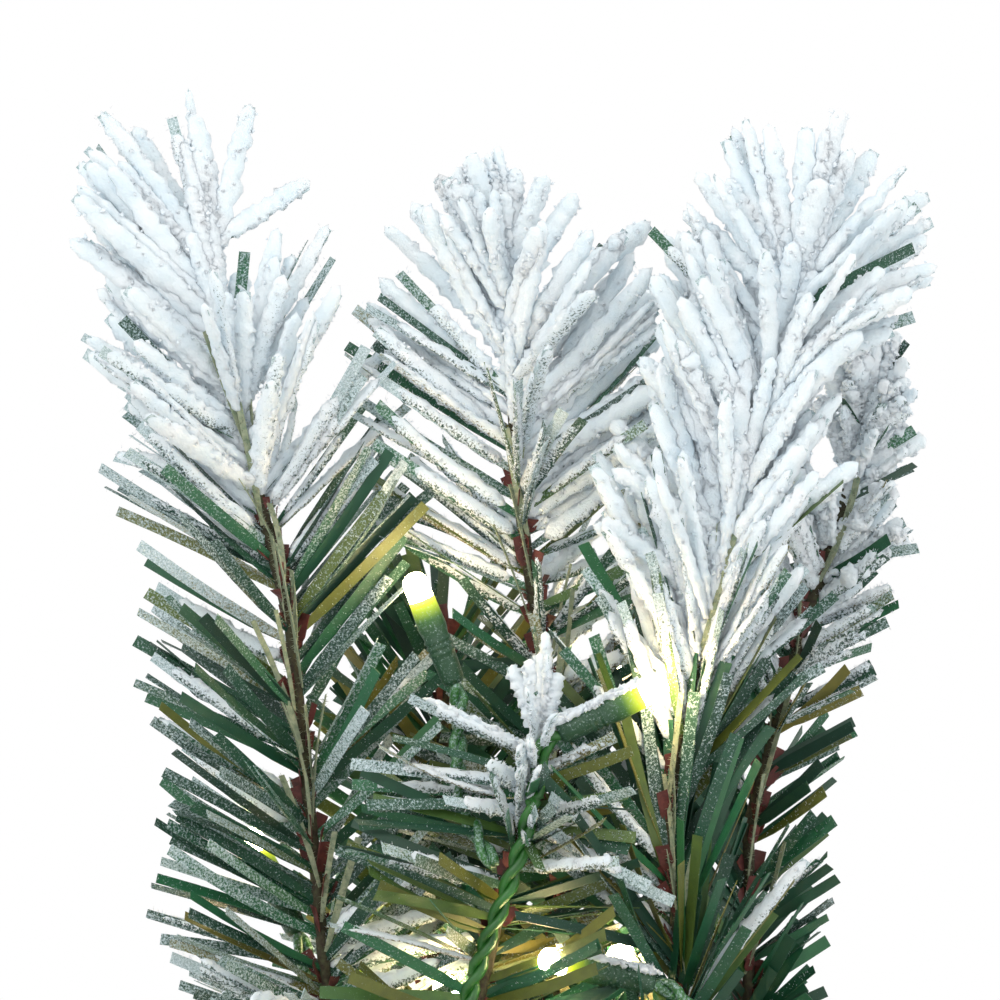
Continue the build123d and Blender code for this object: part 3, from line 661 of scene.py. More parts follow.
def flock(name, rng, needles, material, shape, crumbs_each, fibres_each, lumpy=None, coat=None):
    """All the flock on a set of needles, as one piece; lumpy is (height, share, least and most radius)."""
    gathered = Gathering()
    snowy = needles.pick(needles.snow > SNOW_LEAST)
    if coat:
        snowy = Needles.joined([snowy, stem_coat(rng, *coat)])
    deep = snowy.snow > SNOW_DEEP
    fine = FINE_FINGER if shape is FINGER else shape
    for some, finger in ((snowy.pick(deep), fine), (snowy.pick(~deep), shape)):
        begin, finish = flock_fingers(rng, gathered, some, finger)
        crumbs(rng, gathered, some, begin, finish, crumbs_each)
    fibres(rng, gathered, needles.pick((needles.frost > 0.2) & (needles.snow < SNOW_LEAST)), fibres_each)
    fibres(rng, gathered, snowy.pick(snowy.snow < 1.0), 2 * fibres_each)
    if lumpy:
        clumps(rng, gathered, snowy.pick(snowy.root[:, 2] > lumpy[0] * MM), *lumpy[1:])
    return gathered.build(name, material)


# ---- materials ----
def linear(code):
    """An sRGB hex colour as linear red, green, blue and alpha."""
    parts = [int(code[k : k + 2], 16) / 255 for k in (1, 3, 5)]
    return tuple(c / 12.92 if c <= 0.04045 else ((c + 0.055) / 1.055) ** 2.4 for c in parts) + (1.0,)


def add(tree, kind, inputs=None, **settings):
    """Adds a node with its settings; an input is a value or the socket that feeds it."""
    made = tree.nodes.new(kind)
    for name, value in settings.items():
        setattr(made, name, value)
    for name, value in (inputs or {}).items():
        if isinstance(value, bpy.types.NodeSocket):
            tree.links.new(value, made.inputs[name])
        else:
            made.inputs[name].default_value = value
    return made


def finish_called(name, **shader):
    """A new material with one shader; shader holds that shader's own values."""
    made = bpy.data.materials.new(name)
    made.use_nodes = True
    tree = made.node_tree
    tree.nodes.clear()
    bsdf = add(tree, "ShaderNodeBsdfPrincipled", shader)
    add(tree, "ShaderNodeOutputMaterial", {"Surface": bsdf.outputs[0]})
    return made, tree, bsdf


def noise_at(tree, size_mm, detail=3.0, roughness=0.55, stretch=(1, 1, 1)):
    """Noise on Object coordinates whose features are about size_mm across."""
    where = add(tree, "ShaderNodeTexCoord").outputs["Object"]
    if stretch != (1, 1, 1):
        where = add(tree, "ShaderNodeMapping", {"Vector": where, "Scale": stretch}).outputs[0]
    values = {"Vector": where, "Scale": 1 / (size_mm * MM), "Detail": detail, "Roughness": roughness}
    return add(tree, "ShaderNodeTexNoise", values).outputs[0]


def ramp(tree, factor, *stops):
    """A colour ramp through (place, hex colour) stops."""
    made = add(tree, "ShaderNodeValToRGB", {"Fac": factor})
    band = made.color_ramp
    while len(band.elements) < len(stops):
        band.elements.new(0.5)
    for element, (place, code) in zip(band.elements, stops):
        element.position = place
        element.color = linear(code)
    return made.outputs[0]


def mix(tree, factor, a, b, blend="MIX"):
    """Two colours mixed; a colour is a socket or a hex code."""
    a, b = (linear(c) if isinstance(c, str) else c for c in (a, b))
    made = add(tree, "ShaderNodeMix", data_type="RGBA", blend_type=blend)
    for slot, value in ((0, factor), (6, a), (7, b)):
        if isinstance(value, bpy.types.NodeSocket):
            tree.links.new(value, made.inputs[slot])
        else:
            made.inputs[slot].default_value = value
    return made.outputs[2]


def maths(tree, operation, *values, clamp=False):
    inputs = dict(enumerate(values))
    return add(tree, "ShaderNodeMath", inputs, operation=operation, use_clamp=clamp).outputs[0]


def bumped(tree, bsdf, height, depth_mm, strength=0.6):
    made = add(tree, "ShaderNodeBump", {"Height": height, "Distance": depth_mm * MM, "Strength": strength})
    tree.links.new(made.outputs[0], bsdf.inputs["Normal"])


def above(tree, value, threshold, slope):
    """How far a value is above a threshold, from 0 to 1."""
    return maths(tree, "MULTIPLY", maths(tree, "SUBTRACT", value, threshold), slope, clamp=True)


def value_of(tree, layer):
    return add(tree, "ShaderNodeAttribute", attribute_name=layer, attribute_type="GEOMETRY").outputs["Fac"]


def pvc_needle_film():
    """Calendered PVC film: satin greens from blue-green to olive, dusted with fine white flock."""
    made, tree, bsdf = finish_called("pvc_needle_film", **{"Roughness": 0.46, "IOR": 1.53})
    green = ramp(
        tree, value_of(tree, "tint"),
        (0, "#0d3a2a"), (0.25, "#145034"), (0.5, "#1f6c40"), (0.66, "#3f7030"), (0.85, "#626a1e"),
        (1, "#857c30"),
    )
    green = mix(tree, maths(tree, "MULTIPLY", noise_at(tree, 2.2, 2.0), 0.5), green, "#0c241b")
    dust = noise_at(tree, 0.45, 4.0, 0.75)
    depth = maths(tree, "ADD", dust, maths(tree, "MULTIPLY", value_of(tree, "frost"), 0.52))
    cover = maths(tree, "MULTIPLY", above(tree, depth, 0.73, 7.0), 0.9)
    powder = ramp(tree, noise_at(tree, 0.35, 3.0, 0.8), (0.38, "#92acae"), (0.6, "#dfebef"))
    tree.links.new(mix(tree, cover, green, powder), bsdf.inputs["Base Color"])
    bumped(tree, bsdf, depth, 0.15, 0.6)
    return made


def snow_flock():
    """Electrostatic flock: short white fibres on glue, matt and bluish, with dark pits where it is thin."""
    values = {
        "Roughness": 0.95, "Specular IOR Level": 0.2, "Subsurface Weight": 0.6, "Subsurface Scale": 1.0 * MM,
        "Subsurface Radius": (1.0, 1.0, 1.0),
    }
    made, tree, bsdf = finish_called("snow_flock", **values)
    white = ramp(tree, noise_at(tree, 7.0, 2.0), (0.3, "#e4f0f8"), (0.7, "#f2f9fd"))
    fine = noise_at(tree, 0.5, 4.0, 0.7)
    thin = maths(tree, "SUBTRACT", 1.42, value_of(tree, "frost"))
    pits = above(tree, maths(tree, "MULTIPLY", fine, thin), 0.42, 9.0)
    shade = ramp(tree, value_of(tree, "tint"), (0.0, "#34514a"), (0.62, "#3d5a49"), (1.0, "#6a6440"))
    tree.links.new(mix(tree, pits, white, shade), bsdf.inputs["Base Color"])
    bumped(tree, bsdf, noise_at(tree, 0.7, 4.0, 0.7), 0.6, 0.75)
    return made


def plain_finish(name, base, other, size_mm, roughness, depth_mm=0.05, metal=0.0, **more):
    """Moulded, painted or plated stock: a colour that drifts to another, and a fine relief."""
    made, tree, bsdf = finish_called(name, **{"Roughness": roughness, "Metallic": metal, **more})
    drift = noise_at(tree, size_mm, 4.0, 0.6)
    tree.links.new(ramp(tree, drift, (0.35, base), (0.68, other)), bsdf.inputs["Base Color"])
    bumped(tree, bsdf, noise_at(tree, size_mm / 6, 3.0), depth_mm, 0.5)
    return made


def lit_husk():
    """Flexible PVC husk: dark green, and lit yellow-green from inside at its mouth."""
    made, tree, bsdf = finish_called(
        "lit_pvc_husk", **{"Roughness": 0.4, "IOR": 1.53, "Emission Strength": 1.6}
    )
    near = value_of(tree, "tint")
    dust = noise_at(tree, 0.5, 4.0, 0.75)
    body = ramp(tree, near, (0.0, "#1a4428"), (0.45, "#3c6a2c"), (1.0, "#b9c73a"))
    body = mix(tree, above(tree, dust, 0.56, 6.0), body, "#9fb4ae")
    tree.links.new(body, bsdf.inputs["Base Color"])
    glow = ramp(
        tree, near, (0.0, "#000000"), (0.35, "#101a02"), (0.62, "#67780c"), (0.85, "#a3a818"),
        (1.0, "#f2ef6a")
    )
    tree.links.new(glow, bsdf.inputs["Emission Color"])
    bumped(tree, bsdf, dust, 0.15)
    return made


def dusted_wire():
    """Green PVC insulation, dusted with flock where the frost attribute says so."""
    made, tree, bsdf = finish_called("green_pvc_wire", **{"Roughness": 0.34, "IOR": 1.53})
    body = ramp(tree, noise_at(tree, 5.0), (0.35, "#194e17"), (0.68, "#2a6b24"))
    dust = noise_at(tree, 0.6, 4.0, 0.75)
    depth = maths(tree, "ADD", dust, maths(tree, "MULTIPLY", value_of(tree, "frost"), 0.5))
    tree.links.new(mix(tree, above(tree, depth, 0.78, 5.0), body, "#a9bfc0"), bsdf.inputs["Base Color"])
    bumped(tree, bsdf, depth, 0.15)
    return made


def warm_diode():
    """Epoxy lens of a warm white diode, burning."""
    made, _, bsdf = finish_called(
        "warm_white_diode", **{"Roughness": 0.15, "IOR": 1.5, "Emission Strength": 80.0}
    )
    bsdf.inputs["Base Color"].default_value = linear("#fff1d0")
    bsdf.inputs["Emission Color"].default_value = linear("#ffdfa6")
    return made


def woven(name, warp, weft, pitch_mm):
    """Coarse plain weave on the piece's own UV map, whose unit is a metre of cloth."""
    values = {"Roughness": 0.9, "Sheen Weight": 0.25, "Specular IOR Level": 0.2}
    made, tree, bsdf = finish_called(name, **values)
    uv = add(tree, "ShaderNodeUVMap", uv_map="cloth").outputs[0]
    halves = add(tree, "ShaderNodeSeparateXYZ", {"Vector": uv})
    turn = math.pi / (pitch_mm * MM)
    across = maths(tree, "SINE", maths(tree, "MULTIPLY", halves.outputs[0], turn))
    along = maths(tree, "SINE", maths(tree, "MULTIPLY", halves.outputs[1], turn))
    product = maths(tree, "MULTIPLY", across, along)
    over = maths(tree, "GREATER_THAN", product, 0.0)
    ridge_a, ridge_b = maths(tree, "ABSOLUTE", across), maths(tree, "ABSOLUTE", along)
    slub = noise_at(tree, 3.0, 3.0)
    thread = mix(tree, over, warp, weft)
    thread = mix(tree, maths(tree, "MULTIPLY", slub, 0.75), thread, "#6b4c2c")
    # painted shade: the gaps between the threads are darkened to dark brown, for the shadow seen through the
    # weave
    hole = maths(tree, "POWER", maths(tree, "MAXIMUM", ridge_a, ridge_b), 0.6)
    solid = maths(tree, "MINIMUM", maths(tree, "MULTIPLY", hole, 1.25), 1.0)
    dark = maths(tree, "SUBTRACT", 1.0, solid, clamp=True)
    tree.links.new(mix(tree, dark, thread, "#2c1d10"), bsdf.inputs["Base Color"])
    height = maths(tree, "ADD", maths(tree, "MULTIPLY", maths(tree, "ADD", ridge_a, ridge_b), 0.5), slub)
    bumped(tree, bsdf, height, 0.6, 0.9)
    return made


# Finishes. A plain one gives its two colours, the size of their drift in mm and its roughness.
FILM = pvc_needle_film()
FLOCK = snow_flock()
# dyed film: red-brown and dull
BARK = plain_finish("red_brown_bark_film", "#4a1f1c", "#6b332c", 1.6, 0.6)
# sisal hairs: pale grey-green and dry
SISAL = plain_finish("hairy_sisal_thread", "#a3a78a", "#74866c", 1.2, 0.9)
WIRE = dusted_wire()
HUSK = lit_husk()
DIODE = warm_diode()
BURLAP = woven("jute_burlap", "#b08c5a", "#9c774a", 1.5)
# jute: tan, hairy and matt
TWINE = plain_finish("two_ply_jute", "#d0b483", "#a5855a", 0.8, 0.92, 0.2)

CAD_FINISHES = {
    # baked enamel: dark, smooth and half glossy
    "painted_steel": plain_finish("green_enamelled_steel", "#1c3a26", "#16301f", 9.0, 0.34, 0.04),
    # zinc: a grey, cloudy metal
    "zinc_steel": plain_finish("zinc_plated_steel", "#b9bcc0", "#9fa3a8", 1.5, 0.35, 0.02, 1.0),
    # nickel: a pale, bright metal
    "contact_steel": plain_finish("nickel_plated_spring", "#c9c9c4", "#b2b2ac", 1.5, 0.25, 0.02, 1.0),
    # woven tape: flat brown and slightly rough
    "binding_tape": plain_finish("brown_cloth_tape", "#3a2a1c", "#2b1f15", 1.2, 0.85, 0.15),
    # crepe tape over wire: mottled brown and green, matt
    "bound_wire_stem": plain_finish("taped_wire_stem", "#2f2318", "#46482f", 1.0, 0.85, 0.2),
    # moulded polypropylene: near black, with a soft sheen
    "pot_plastic": plain_finish("black_polypropylene", "#17181a", "#222426", 3.0, 0.55),
    # moulded plastic: green and satin
    "case_plastic": plain_finish("green_moulded_abs", "#1a4a2a", "#1f5430", 1.2, 0.42, 0.04),
    # shrunk sleeve: dark and glossy
    "cell_jacket": plain_finish("printed_cell_jacket", "#2b2c30", "#35363b", 6.0, 0.28),
    # solder mask: green and smooth
    "board_laminate": plain_finish("solder_masked_laminate", "#0f5a32", "#0c4a29", 2.0, 0.4),
    # rubber: dark green and dull
    "gland_rubber": plain_finish("soft_green_rubber", "#133a20", "#184626", 1.0, 0.75),
    # cement: grey, chalky and pitted
    "cast_cement": plain_finish("cast_cement", "#8d8a84", "#a5a29b", 2.5, 0.95, 0.3),
    "pvc_needles": FILM, "wire_insulation": WIRE, "husk_plastic": HUSK, "warm_white_diode": DIODE,
    "burlap": BURLAP, "jute_twine": TWINE,
}


def dress_cad():
    """Gives every CAD node the finish of its slot in the record."""
    for entry in frame["record"]["subparts"]:
        node = frame["nodes"][entry["node"]]
        node.data.materials.clear()
        node.data.materials.append(CAD_FINISHES[entry["material_slot"]])


# ---- crown ----
def belong(piece, body, slot, *nodes):
    """A piece rides on a body and stands for its CAD nodes, which it hides; slot is not used."""
    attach(piece, body)
    if nodes:
        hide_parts(*nodes)
    return piece


def make_crown():
    for number, name in enumerate(LEADER_STEMS):
        rng = np.random.default_rng(100 + number)
        needles = leader_needles(rng, name)
        piece = film(f"crown_{name}_film", needles, FILM)
        belong(piece, "trunk", "needle_film", f"crown_{name}_needles")
        coat = (LEADER_STEMS[name], *STEM_COATS[name]) if name in STEM_COATS else None
        piece = flock(f"crown_{name}_flock", rng, needles, FLOCK, FINGER, 22, 46, CLUMPS.get(name), coat)
        belong(piece, "trunk", "snow_flock")


def make_bark():
    """Short strips of bark film that lie along the crown's stems."""
    rng = np.random.default_rng(7)
    groups = []
    for name, points in LEADER_STEMS.items():
        places, ways, _ = walk(np.array(points) * MM, 1.7 * MM)
        bare = places[:, 2] < (STEM_COATS[name][0] - 14 if name in STEM_COATS else 520) * MM
        places, ways = places[bare], ways[bare]
        count = len(places)
        turn = rng.uniform(0, 2 * np.pi, count)
        out = level(turn)
        way = unit(ways * rng.uniform(0.6, 1.0, (count, 1)) + out * rng.uniform(0.1, 0.5, (count, 1)))
        length = rng.uniform(2.5, 6, count) * MM
        made = stand(rng, places + out * STEM_R, way, ways, length, np.zeros(count), np.zeros(count))
        made.width = made.width * 1.1
        groups.append(made)
    piece = film("crown_bark_strips", Needles.joined(groups), BARK)
    belong(piece, "trunk", "bark_film")


def make_sisal():
    """Hairy strands that lie along the stems, their ends free."""
    rng = np.random.default_rng(21)
    groups = []
    strands_on = (
        ("left", 445, 545, 16), ("middle", 478, 540, 7), ("right_front", 440, 512, 9),
        ("right_back", 440, 520, 6)
    )
    for name, low, high, count in strands_on:
        places, ways, _ = walk(np.array(LEADER_STEMS[name]) * MM, 1.0 * MM)
        kept = np.nonzero((places[:, 2] > low * MM) & (places[:, 2] < high * MM))[0]
        chosen = kept[np.linspace(0, len(kept) - 1, count).astype(int)]
        turn = np.radians(rng.uniform(225, 315, count))
        out = level(turn)
        lean = np.stack([rng.normal(0, 0.16, count), rng.uniform(-0.22, -0.08, count), 0 * turn], 1)
        length = rng.uniform(17, 30, count) * MM
        root, way, bare = places[chosen] + out * 1.6 * MM, unit(ways[chosen] + lean), np.zeros(count)
        made = stand(rng, root, way, ways[chosen], length, bare, bare)
        made.bend = made.bend + rng.normal(0, 0.08, (count, 3))
        made.width = made.width * rng.uniform(0.4, 0.75, count)
        made.frost = np.ones(count)
        groups.append(made)
    strands = Needles.joined(groups)
    belong(film("crown_sisal_strands", strands, SISAL), "trunk", "bark_film")
    hairs = Gathering()
    fibres(rng, hairs, strands, 130, long=1.25, spread=0.8)
    belong(hairs.build("crown_sisal_hairs", SISAL), "trunk", "bark_film")


# ---- lamps and wires ----
def facing(way):
    """The turn that takes +Z to a direction."""
    return Vector((0, 0, 1)).rotation_difference(Vector(way)).to_matrix().to_4x4()


def turned_shape(profile, steps=16):
    """A closed shape of revolution about Z from (radius, height) points in metres."""
    bm = bmesh.new()
    verts = [bm.verts.new((r, 0, z)) for r, z in profile]
    edges = [bm.edges.new(pair) for pair in zip(verts, verts[1:])]
    bmesh.ops.spin(
        bm, geom=verts + edges, cent=(0, 0, 0), axis=(0, 0, 1), angle=2 * math.pi, steps=steps, use_merge=True
    )
    bmesh.ops.remove_doubles(bm, verts=bm.verts[:], dist=1e-6)
    return shape_of(bm)


def rounded_bulb():
    """A diode's lens, domed at the origin and running down Z."""
    dome = 2.0 * MM
    arc = [(LED_R * math.cos(a), dome * (math.sin(a) - 1)) for a in np.linspace(0, math.pi / 2, 6)]
    return turned_shape([(0, -LED_LENGTH), (LED_R, -LED_LENGTH), *arc])


def husk_profile():
    """A husk's outline, with three grip rings, from its foot to its mouth and back in round the diode."""
    mouth = LED_SEAT - LED_LENGTH
    foot = mouth - HUSK_LENGTH
    body = [(0, 0), (1.9, 0), (2.3, 1), (2.5, 5)]
    for ring in range(3):
        z = 6.2 + 1.3 * ring
        body += [(2.5, z), (2.8, z + 0.35), (2.8, z + 0.7), (2.5, z + 1.0)]
    body += [(2.9, 12)]
    lip = [(2.8, -4), (2.65, -0.3), (2.58, 0), (LED_R / MM + 0.02, 0), (LED_R / MM + 0.02, -1.5), (0, -1.5)]
    return [(r * MM, foot + z * MM) for r, z in body] + [(r * MM, mouth + z * MM) for r, z in lip]


def placed(shape, tip, way):
    turn = np.array(facing(way).to_3x3())
    return shape[0] @ turn.T + np.asarray(tip)


def lamp_pieces(prefix, lamps, body, slots, nodes):
    """Husks and diodes for a list of (tip, direction), in metres."""
    bulb, husk = rounded_bulb(), turned_shape(husk_profile())
    bulbs, husks = Gathering(), Gathering()
    mouth = LED_SEAT - LED_LENGTH
    near = np.clip(1 + (husk[0][:, 2] - mouth) / (6.5 * MM), 0, 1)
    for tip, way in lamps:
        bulbs.add(bulb, placed(bulb, tip, way)[None], np.ones(1), np.ones(1))
        husks.add(husk, placed(husk, tip, way)[None], near[None], np.ones(1))
    belong(bulbs.build(f"{prefix}_diodes_lit", DIODE), body, slots[0], *nodes[:1])
    belong(husks.build(f"{prefix}_husks_moulded", HUSK), body, slots[1], *nodes[1:])


def sampled(points_mm):
    """Points along the smooth spline whose control points are given, in metres."""
    curve = bpy.data.curves.new("route", "CURVE")
    curve.dimensions = "3D"
    curve.resolution_u = 12
    spline = curve.splines.new("NURBS")
    spline.points.add(len(points_mm) - 1)
    for spot, p in zip(spline.points, points_mm):
        spot.co = (p[0] * MM, p[1] * MM, p[2] * MM, 1)
    spline.order_u = 3
    spline.use_endpoint_u = True
    holder = bpy.data.objects.new("route", curve)
    bpy.context.scene.collection.objects.link(holder)
    bpy.context.view_layer.update()
    mesh = bpy.data.meshes.new_from_object(holder)
    line = np.array([v.co[:] for v in mesh.vertices])
    bpy.data.objects.remove(holder)
    bpy.data.meshes.remove(mesh)
    bpy.data.curves.remove(curve)
    return line


def resampled(line, step):
    reach = reach_of(line)
    at = np.linspace(0, reach[-1], max(3, int(reach[-1] / step)))
    return places_at(line, reach, at), at


def tube_along(gathered, line, radius, around=8, frost=0.0):
    """A round tube along a line of points, closed at both ends."""
    way = unit(np.gradient(line, axis=0))
    side = np.zeros_like(line)
    side[0] = unit(np.cross(way[0], UP + 0.13))
    for k in range(1, len(line)):
        side[k] = unit(side[k - 1] - way[k] * np.dot(side[k - 1], way[k]))
    other = np.cross(way, side)
    bm = bmesh.new()
    bmesh.ops.create_cone(bm, cap_ends=True, segments=around, radius1=1, radius2=1, depth=1)
    walls = [e for e in bm.edges if abs(e.verts[0].co.z - e.verts[1].co.z) > 0.5]
    bmesh.ops.subdivide_edges(bm, edges=walls, cuts=len(line) - 2, use_grid_fill=True)
    shape = shape_of(bm)
    at = np.round((shape[0][:, 2] + 0.5) * (len(line) - 1)).astype(int)
    points = line[at] + radius * (side[at] * shape[0][:, :1] + other[at] * shape[0][:, 1:2])
    gathered.add(shape, points[None], np.zeros(1), np.full(1, frost))


def twisted_pair(gathered, line, frost=0.0, strand=WIRE_R, apart=0.98 * WIRE_R, lay=TWIST_PITCH,
                 step=1.6 * MM, around=8, aside=(0.21, 0.13, 0)):
    """Two strands laid round each other along a line."""
    line, at = resampled(line, step)
    way = unit(np.gradient(line, axis=0))
    side = unit(np.cross(way, UP + np.array(aside)))
    other = np.cross(way, side)
    angle = (at / lay * 2 * np.pi)[:, None]
    offset = (side * np.cos(angle) + other * np.sin(angle)) * apart
    for hand in (-1, 1):
        tube_along(gathered, line + offset * hand, strand, around, frost)


def husk_lead(number, straight=4.4):
    """A husk's foot and a point straight behind it, in millimetres."""
    tip, way, _ = LAMPS[number]
    tip, back = np.array(tip, float), unit(np.array(way, float))
    return [tuple(tip - back * (HUSK_BACK / MM + more)) for more in (0, straight)]


def string_routes():
    """The light string's runs, in millimetres, as they lie in the CAD model."""
    climb = [(-1.3, 17, 179.2), (-1.6, 16.5, 190), (-2.4, 14.4, 215), (-3.8, 14.2, 245), (-4.2, 14.0, 262)]
    for azimuth, z in ((125, 278), (150, 292), (180, 304), (208, 316)):
        climb.append((14.6 * math.cos(math.radians(azimuth)), 14.6 * math.sin(math.radians(azimuth)), z))
    climb += [(-13.4, -7.4, 335), (-12, -9.6, 362), (-12, -13.5, 392), (-15, -20, 410)]
    first = [*climb, (-13, -28, 425), (-9.5, -31, 442), (-3, -31.5, 458), (1, -31, 470), (3.5, -30, 481)]
    return [
        [*first, *reversed(husk_lead(1))],
        [*husk_lead(0), (-12.5, -15, 488), (-12, -20, 478), (-9, -27, 470), (-5, -29, 464)],
        [*husk_lead(2), (34, -25, 435), (33, -24, 427), (27, -22, 419), (14, -21, 414), (-4, -25, 416)],
        [*husk_lead(3), (11, 14, 423), (9.5, 12, 412)],
        [*husk_lead(4), (-35, 12.5, 416), (-27, 13, 410), (-16, 12, 404)],
        [*husk_lead(5), (9.5, 12.5, 470), (12, 13, 455)],
        [*husk_lead(6), (-5, -6, 412), (-7.5, -9.5, 406)],
        [*husk_lead(7), (-44, 9, 437), (-43, 12.5, 429), (-37, 16, 421)],
    ]


def make_lights():
    lamps = [(np.array(tip) * MM, way) for tip, way, _ in LAMPS]
    lamp_pieces("crown", lamps, "trunk", ("warm_white_diode", "husk_plastic"), ("lamp_diodes", "lamp_husks"))
    pair = Gathering()
    for number, route in enumerate(string_routes()):
        twisted_pair(pair, sampled(route), 0.0 if number == 0 else 0.6)
    belong(pair.build("light_string_pair", WIRE), "trunk", "wire_insulation", "light_string")
    rng = np.random.default_rng(31)
    snowy = [lamp for lamp in LAMPS if lamp[2] > 0.5]
    way = unit(np.array([w for _, w, _ in snowy], float))
    tip = np.array([t for t, _, _ in snowy], float) * MM
    side = unit(np.cross(way, UP))
    root = tip - way * HUSK_BACK + np.cross(side, way) * 2.0 * MM
    count = len(snowy)
    coats = Needles(
        root=root, way=way, side=side, bend=np.zeros((count, 3)), twist=np.zeros(count),
        length=np.full(count, HUSK_BACK - LED_SEAT), width=np.full(count, 3.4 * MM), tint=np.full(count, 0.3),
        frost=np.ones(count), snow=np.array([s for _, _, s in snowy]),
    )
    piece = flock("crown_husk_flock", rng, coats, FLOCK, FINGER, 160, 260)
    belong(piece, "trunk", "snow_flock")


# ---- branches ----
def branch_matrix(tier, azimuth):
    z, _, rise, _, _ = TIERS[tier]
    return (
        Matrix.Translation((0, 0, z * MM)) @ Matrix.Rotation(math.radians(azimuth), 4, "Z")
        @ Matrix.Translation((HINGE_R, 0, 0)) @ Matrix.Rotation(math.radians(-rise), 4, "Y")
    )


def make_branches():
    seed = 500
    for tier, (_, azimuths, _, length, half_width) in TIERS.items():
        for number, azimuth in enumerate(azimuths, 1):
            seed += 1
            rng = np.random.default_rng(seed)
            name = f"{tier}_branch_{number}"
            needles = branch_needles(rng, length, half_width).placed(branch_matrix(tier, azimuth))
            belong(film(f"{name}_film", needles, FILM), name, "needle_film", f"{name}_needles")
            piece = flock(f"{name}_flock", rng, needles, FLOCK, SHORT_FINGER, 4, 6)
            belong(piece, name, "snow_flock")


def make_branch_lamps():
    """Lamps whose leads are wound along the branches, riding with them."""
    lead_r, lead_step = 3.6, 9.0
    for tier, (_, azimuths, _, length, half_width) in TIERS.items():
        # share of the branch's length, share of its half width, and the way the lead winds
        seats = ((0.9, 0.25, 1), (0.5, -0.55, -1)) if tier == "lower" else ((0.86, 0.2, 1),)
        for number, azimuth in enumerate(azimuths, 1):
            name = f"{tier}_branch_{number}"
            matrix = branch_matrix(tier, azimuth)
            turn, move = np.array(matrix.to_3x3()), np.array(matrix.to_translation()) / MM
            lamps, pair = [], Gathering()
            for share, off, hand in seats:
                tip = np.array((share * length, off * half_width, 13.0))
                way = unit(np.array((1.0, 0.9 * off, 0.55)))
                tail = tip - way * HUSK_BACK / MM
                lamps.append(((turn @ tip + move) * MM, turn @ way))
                route = [tail - way * 0.2, tail - way * 5]
                foot = 26.0 if share > 0.6 else tail[0] - 40
                for k, x in enumerate(np.arange(tail[0] - 16, foot, -lead_step)):
                    angle = hand * k * 1.35 + 1.2
                    lift = 2 * min(1, x / length)
                    route.append((x, lead_r * math.cos(angle), lead_r * math.sin(angle) + lift))
                twisted_pair(pair, sampled([turn @ np.array(p) + move for p in route]), 0.7)
            lamp_pieces(name, lamps, name, ("warm_white_diode", "husk_plastic"), ())
            belong(pair.build(f"{name}_string", WIRE), name, "wire_insulation")


# ---- base ----
NECK_Z = 84 * MM  # height of the neck in the wrap's own rows


def neck_height():
    low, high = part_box("twine_tie")
    return (low.z + high.z) / 2


def make_wrap():
    """Burlap gathered round the pot and tied at the neck, with a ruffle above."""
    rows = [  # radius, height and depth of the folds, from the middle of the underside to the lip
        (1, 1.0, 0), (30, 1.0, 0), (53, 1.0, 0), (56.5, 1.9, 0), (58, 5, 0.3), (59.5, 16, 0.7),
        (60.8, 30, 0.8),
        (61.6, 42, 1.0), (61.6, 54, 1.2), (60.6, 62, 1.6), (57.4, 67.8, 2.2), (49, 72, 2.8), (38, 74.4, 3.2),
        (27, 76.4, 3.0), (19.0, 78.4, 2.0), (14.4, 80.4, 0.8),
        (13.6, NECK_Z / MM, 0.5), (14.4, 87.6, 0.8), (18.0, 90.4, 2.6),
        (22.5, 94.4, 4.0), (26, 98.6, 4.6), (28.5, 102.0, 5.0),
    ]
    profile = np.array(rows) * MM
    profile[:, 1] += neck_height() - NECK_Z
    around, along = 190, 56
    bm = bmesh.new()
    bmesh.ops.create_grid(bm, x_segments=around, y_segments=along, size=0.5)
    cloth = bm.loops.layers.uv.new("cloth")
    reach = reach_of(profile[:, :2])
    rng = np.random.default_rng(3)
    folds = 19
    shifts = rng.uniform(-0.6, 0.6, 6)
    for vert in bm.verts:
        u, v = vert.co.x + 0.5, vert.co.y + 0.5
        vert.co.z = 0
        for face_loop in vert.link_loops:
            face_loop[cloth].uv = (u * 0.39, v * reach[-1])
        at = v * reach[-1]
        r, z, deep = (float(np.interp(at, reach, profile[:, k])) for k in range(3))
        turn = 2 * math.pi * u
        drift = 0.55 * math.sin(3 * turn + shifts[0]) + 0.4 * math.sin(5 * turn + shifts[1] + 4 * v)
        wave = math.sin(folds * turn + 1.3 * drift + shifts[2])
        crease = 1 - 2 * abs(wave) ** 1.4
        small = math.sin(41 * turn + 2.4 * drift + shifts[3]) * 0.25
        big = 0.35 * deep * math.sin(4 * turn + shifts[4] + 3 * v)
        swing = (crease + small) * deep * 0.55 + big * (0.4 if deep < 2 * MM else 1.0)
        radius = max(0.4 * MM, r + swing)
        lip = 1.4 * MM * math.sin(7 * turn + shifts[5]) * max(0.0, (v - 0.9) / 0.1)
        vert.co = (radius * math.cos(turn), radius * math.sin(turn), z + lip)
    bmesh.ops.remove_doubles(bm, verts=bm.verts[:], dist=0.02 * MM)
    bmesh.ops.recalc_face_normals(bm, faces=bm.faces[:])
    bmesh.ops.solidify(bm, geom=bm.faces[:], thickness=0.9 * MM)
    piece = object_of("burlap_wrap_cloth", bm, BURLAP)
    piece.data.polygons.foreach_set("use_smooth", np.full(len(piece.data.polygons), True))
    belong(piece, "base", "burlap", "burlap_wrap")


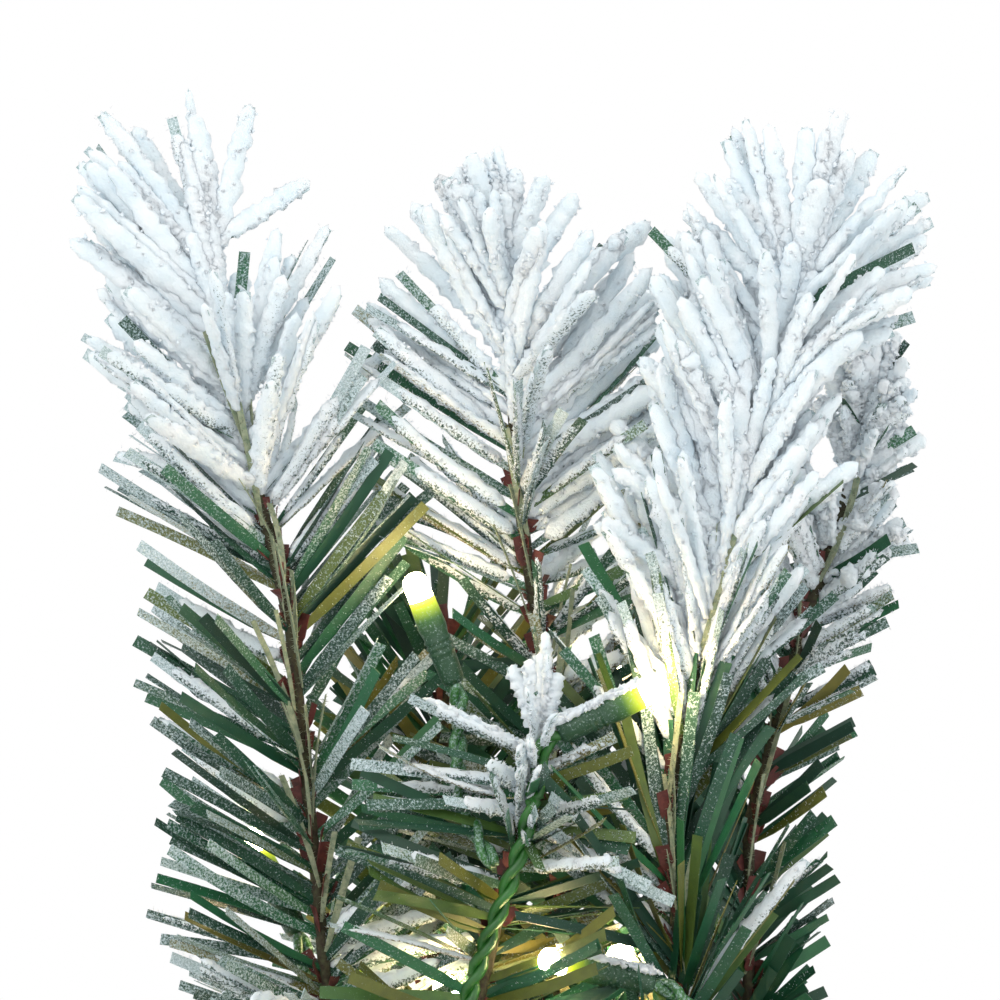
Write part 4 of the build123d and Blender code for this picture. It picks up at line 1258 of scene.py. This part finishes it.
def make_twine():
    """Two-ply twine wound three times round the neck, knotted in front."""
    neck_z = neck_height()
    turns, radius, pitch = 3, 15.9 * MM, 2.3 * MM
    share = np.linspace(0, 1, 150)
    angle = -np.pi / 2 + share * turns * 2 * np.pi
    line = radius * level(angle) + UP * (neck_z + (share - 0.5) * turns * pitch)[:, None]
    ends = [
        [(0, -16.5, -1.5), (3, -18.2, -2.5), (6, -20.5, -5), (8.5, -25, -8.5), (10, -32, -11.5)],
        [(0, -16.5, 1.0), (-3, -18.5, -1.5), (-5.5, -21, -5), (-7, -26, -9), (-9.5, -33, -12)],
        [
            (-2.2, -17.2, 2.4), (0.8, -18.9, 1.2), (2.4, -17.9, -1.2), (0.4, -17.4, -3.0),
            (-2.0, -18.6, -0.4),
            (1.4, -17.6, 2.8),
        ],
    ]
    gathered = Gathering()
    ply = {"strand": 0.58 * MM, "apart": 0.5 * MM, "lay": 4.2 * MM, "step": 1.0 * MM, "around": 6}
    for one in [line] + [sampled(run) + UP * neck_z for run in ends]:
        twisted_pair(gathered, one, aside=(0.3, 0.11, 0), **ply)
    belong(gathered.build("twine_tie_two_ply", TWINE), "base", "jute_twine", "twine_tie")


# ---- stage, light and camera ----
def make_stage():
    bm = bmesh.new()
    bmesh.ops.create_grid(bm, x_segments=8, y_segments=8, size=3.0)
    bmesh.ops.translate(bm, verts=bm.verts[:], vec=(0, 0, -0.2 * MM))
    made, _, bsdf = finish_called("matt_white_board", **{"Roughness": 0.9})
    bsdf.inputs["Base Color"].default_value = linear("#f2f3f4")
    object_of("pale_floor", bm, made)


def make_light():
    scene = bpy.context.scene
    scene.view_settings.view_transform = "Standard"
    world = bpy.data.worlds.new("studio")
    world.use_nodes = True
    world.node_tree.nodes["Background"].inputs[0].default_value = (1, 1, 1, 1)
    world.node_tree.nodes["Background"].inputs[1].default_value = 1.0
    scene.world = world
    for name, place, size, power in (
        ("key", (-0.9, -1.3, 1.5), 0.9, 9.0),
        ("fill", (1.2, -1.2, 0.9), 1.2, 4.0),
    ):
        light = bpy.data.lights.new(name, "AREA")
        light.size = size
        light.energy = power
        lamp = bpy.data.objects.new(name, light)
        lamp.location = place
        lamp.rotation_euler = (Vector((0, 0, 0.5)) - Vector(place)).to_track_quat("-Z", "Y").to_euler()
        scene.collection.objects.link(lamp)


def make_camera():
    """A long lens, level with the crown, that frames its top 200 mm."""
    camera = bpy.data.cameras.new("camera")
    distance, framed = 1.8, 0.2
    camera.sensor_width = 36.0
    camera.lens = camera.sensor_width * distance / framed
    camera.clip_end = 50
    holder = bpy.data.objects.new("camera", camera)
    holder.location = (-0.004, -distance, 0.536)
    holder.rotation_euler = (math.pi / 2, 0, 0)
    bpy.context.scene.collection.objects.link(holder)
    bpy.context.scene.camera = holder


make_camera()
make_light()
make_stage()
dress_cad()
make_crown()
make_bark()
make_sisal()
make_lights()
make_branches()
make_branch_lamps()
make_wrap()
make_twine()

bpy.context.view_layer.update()
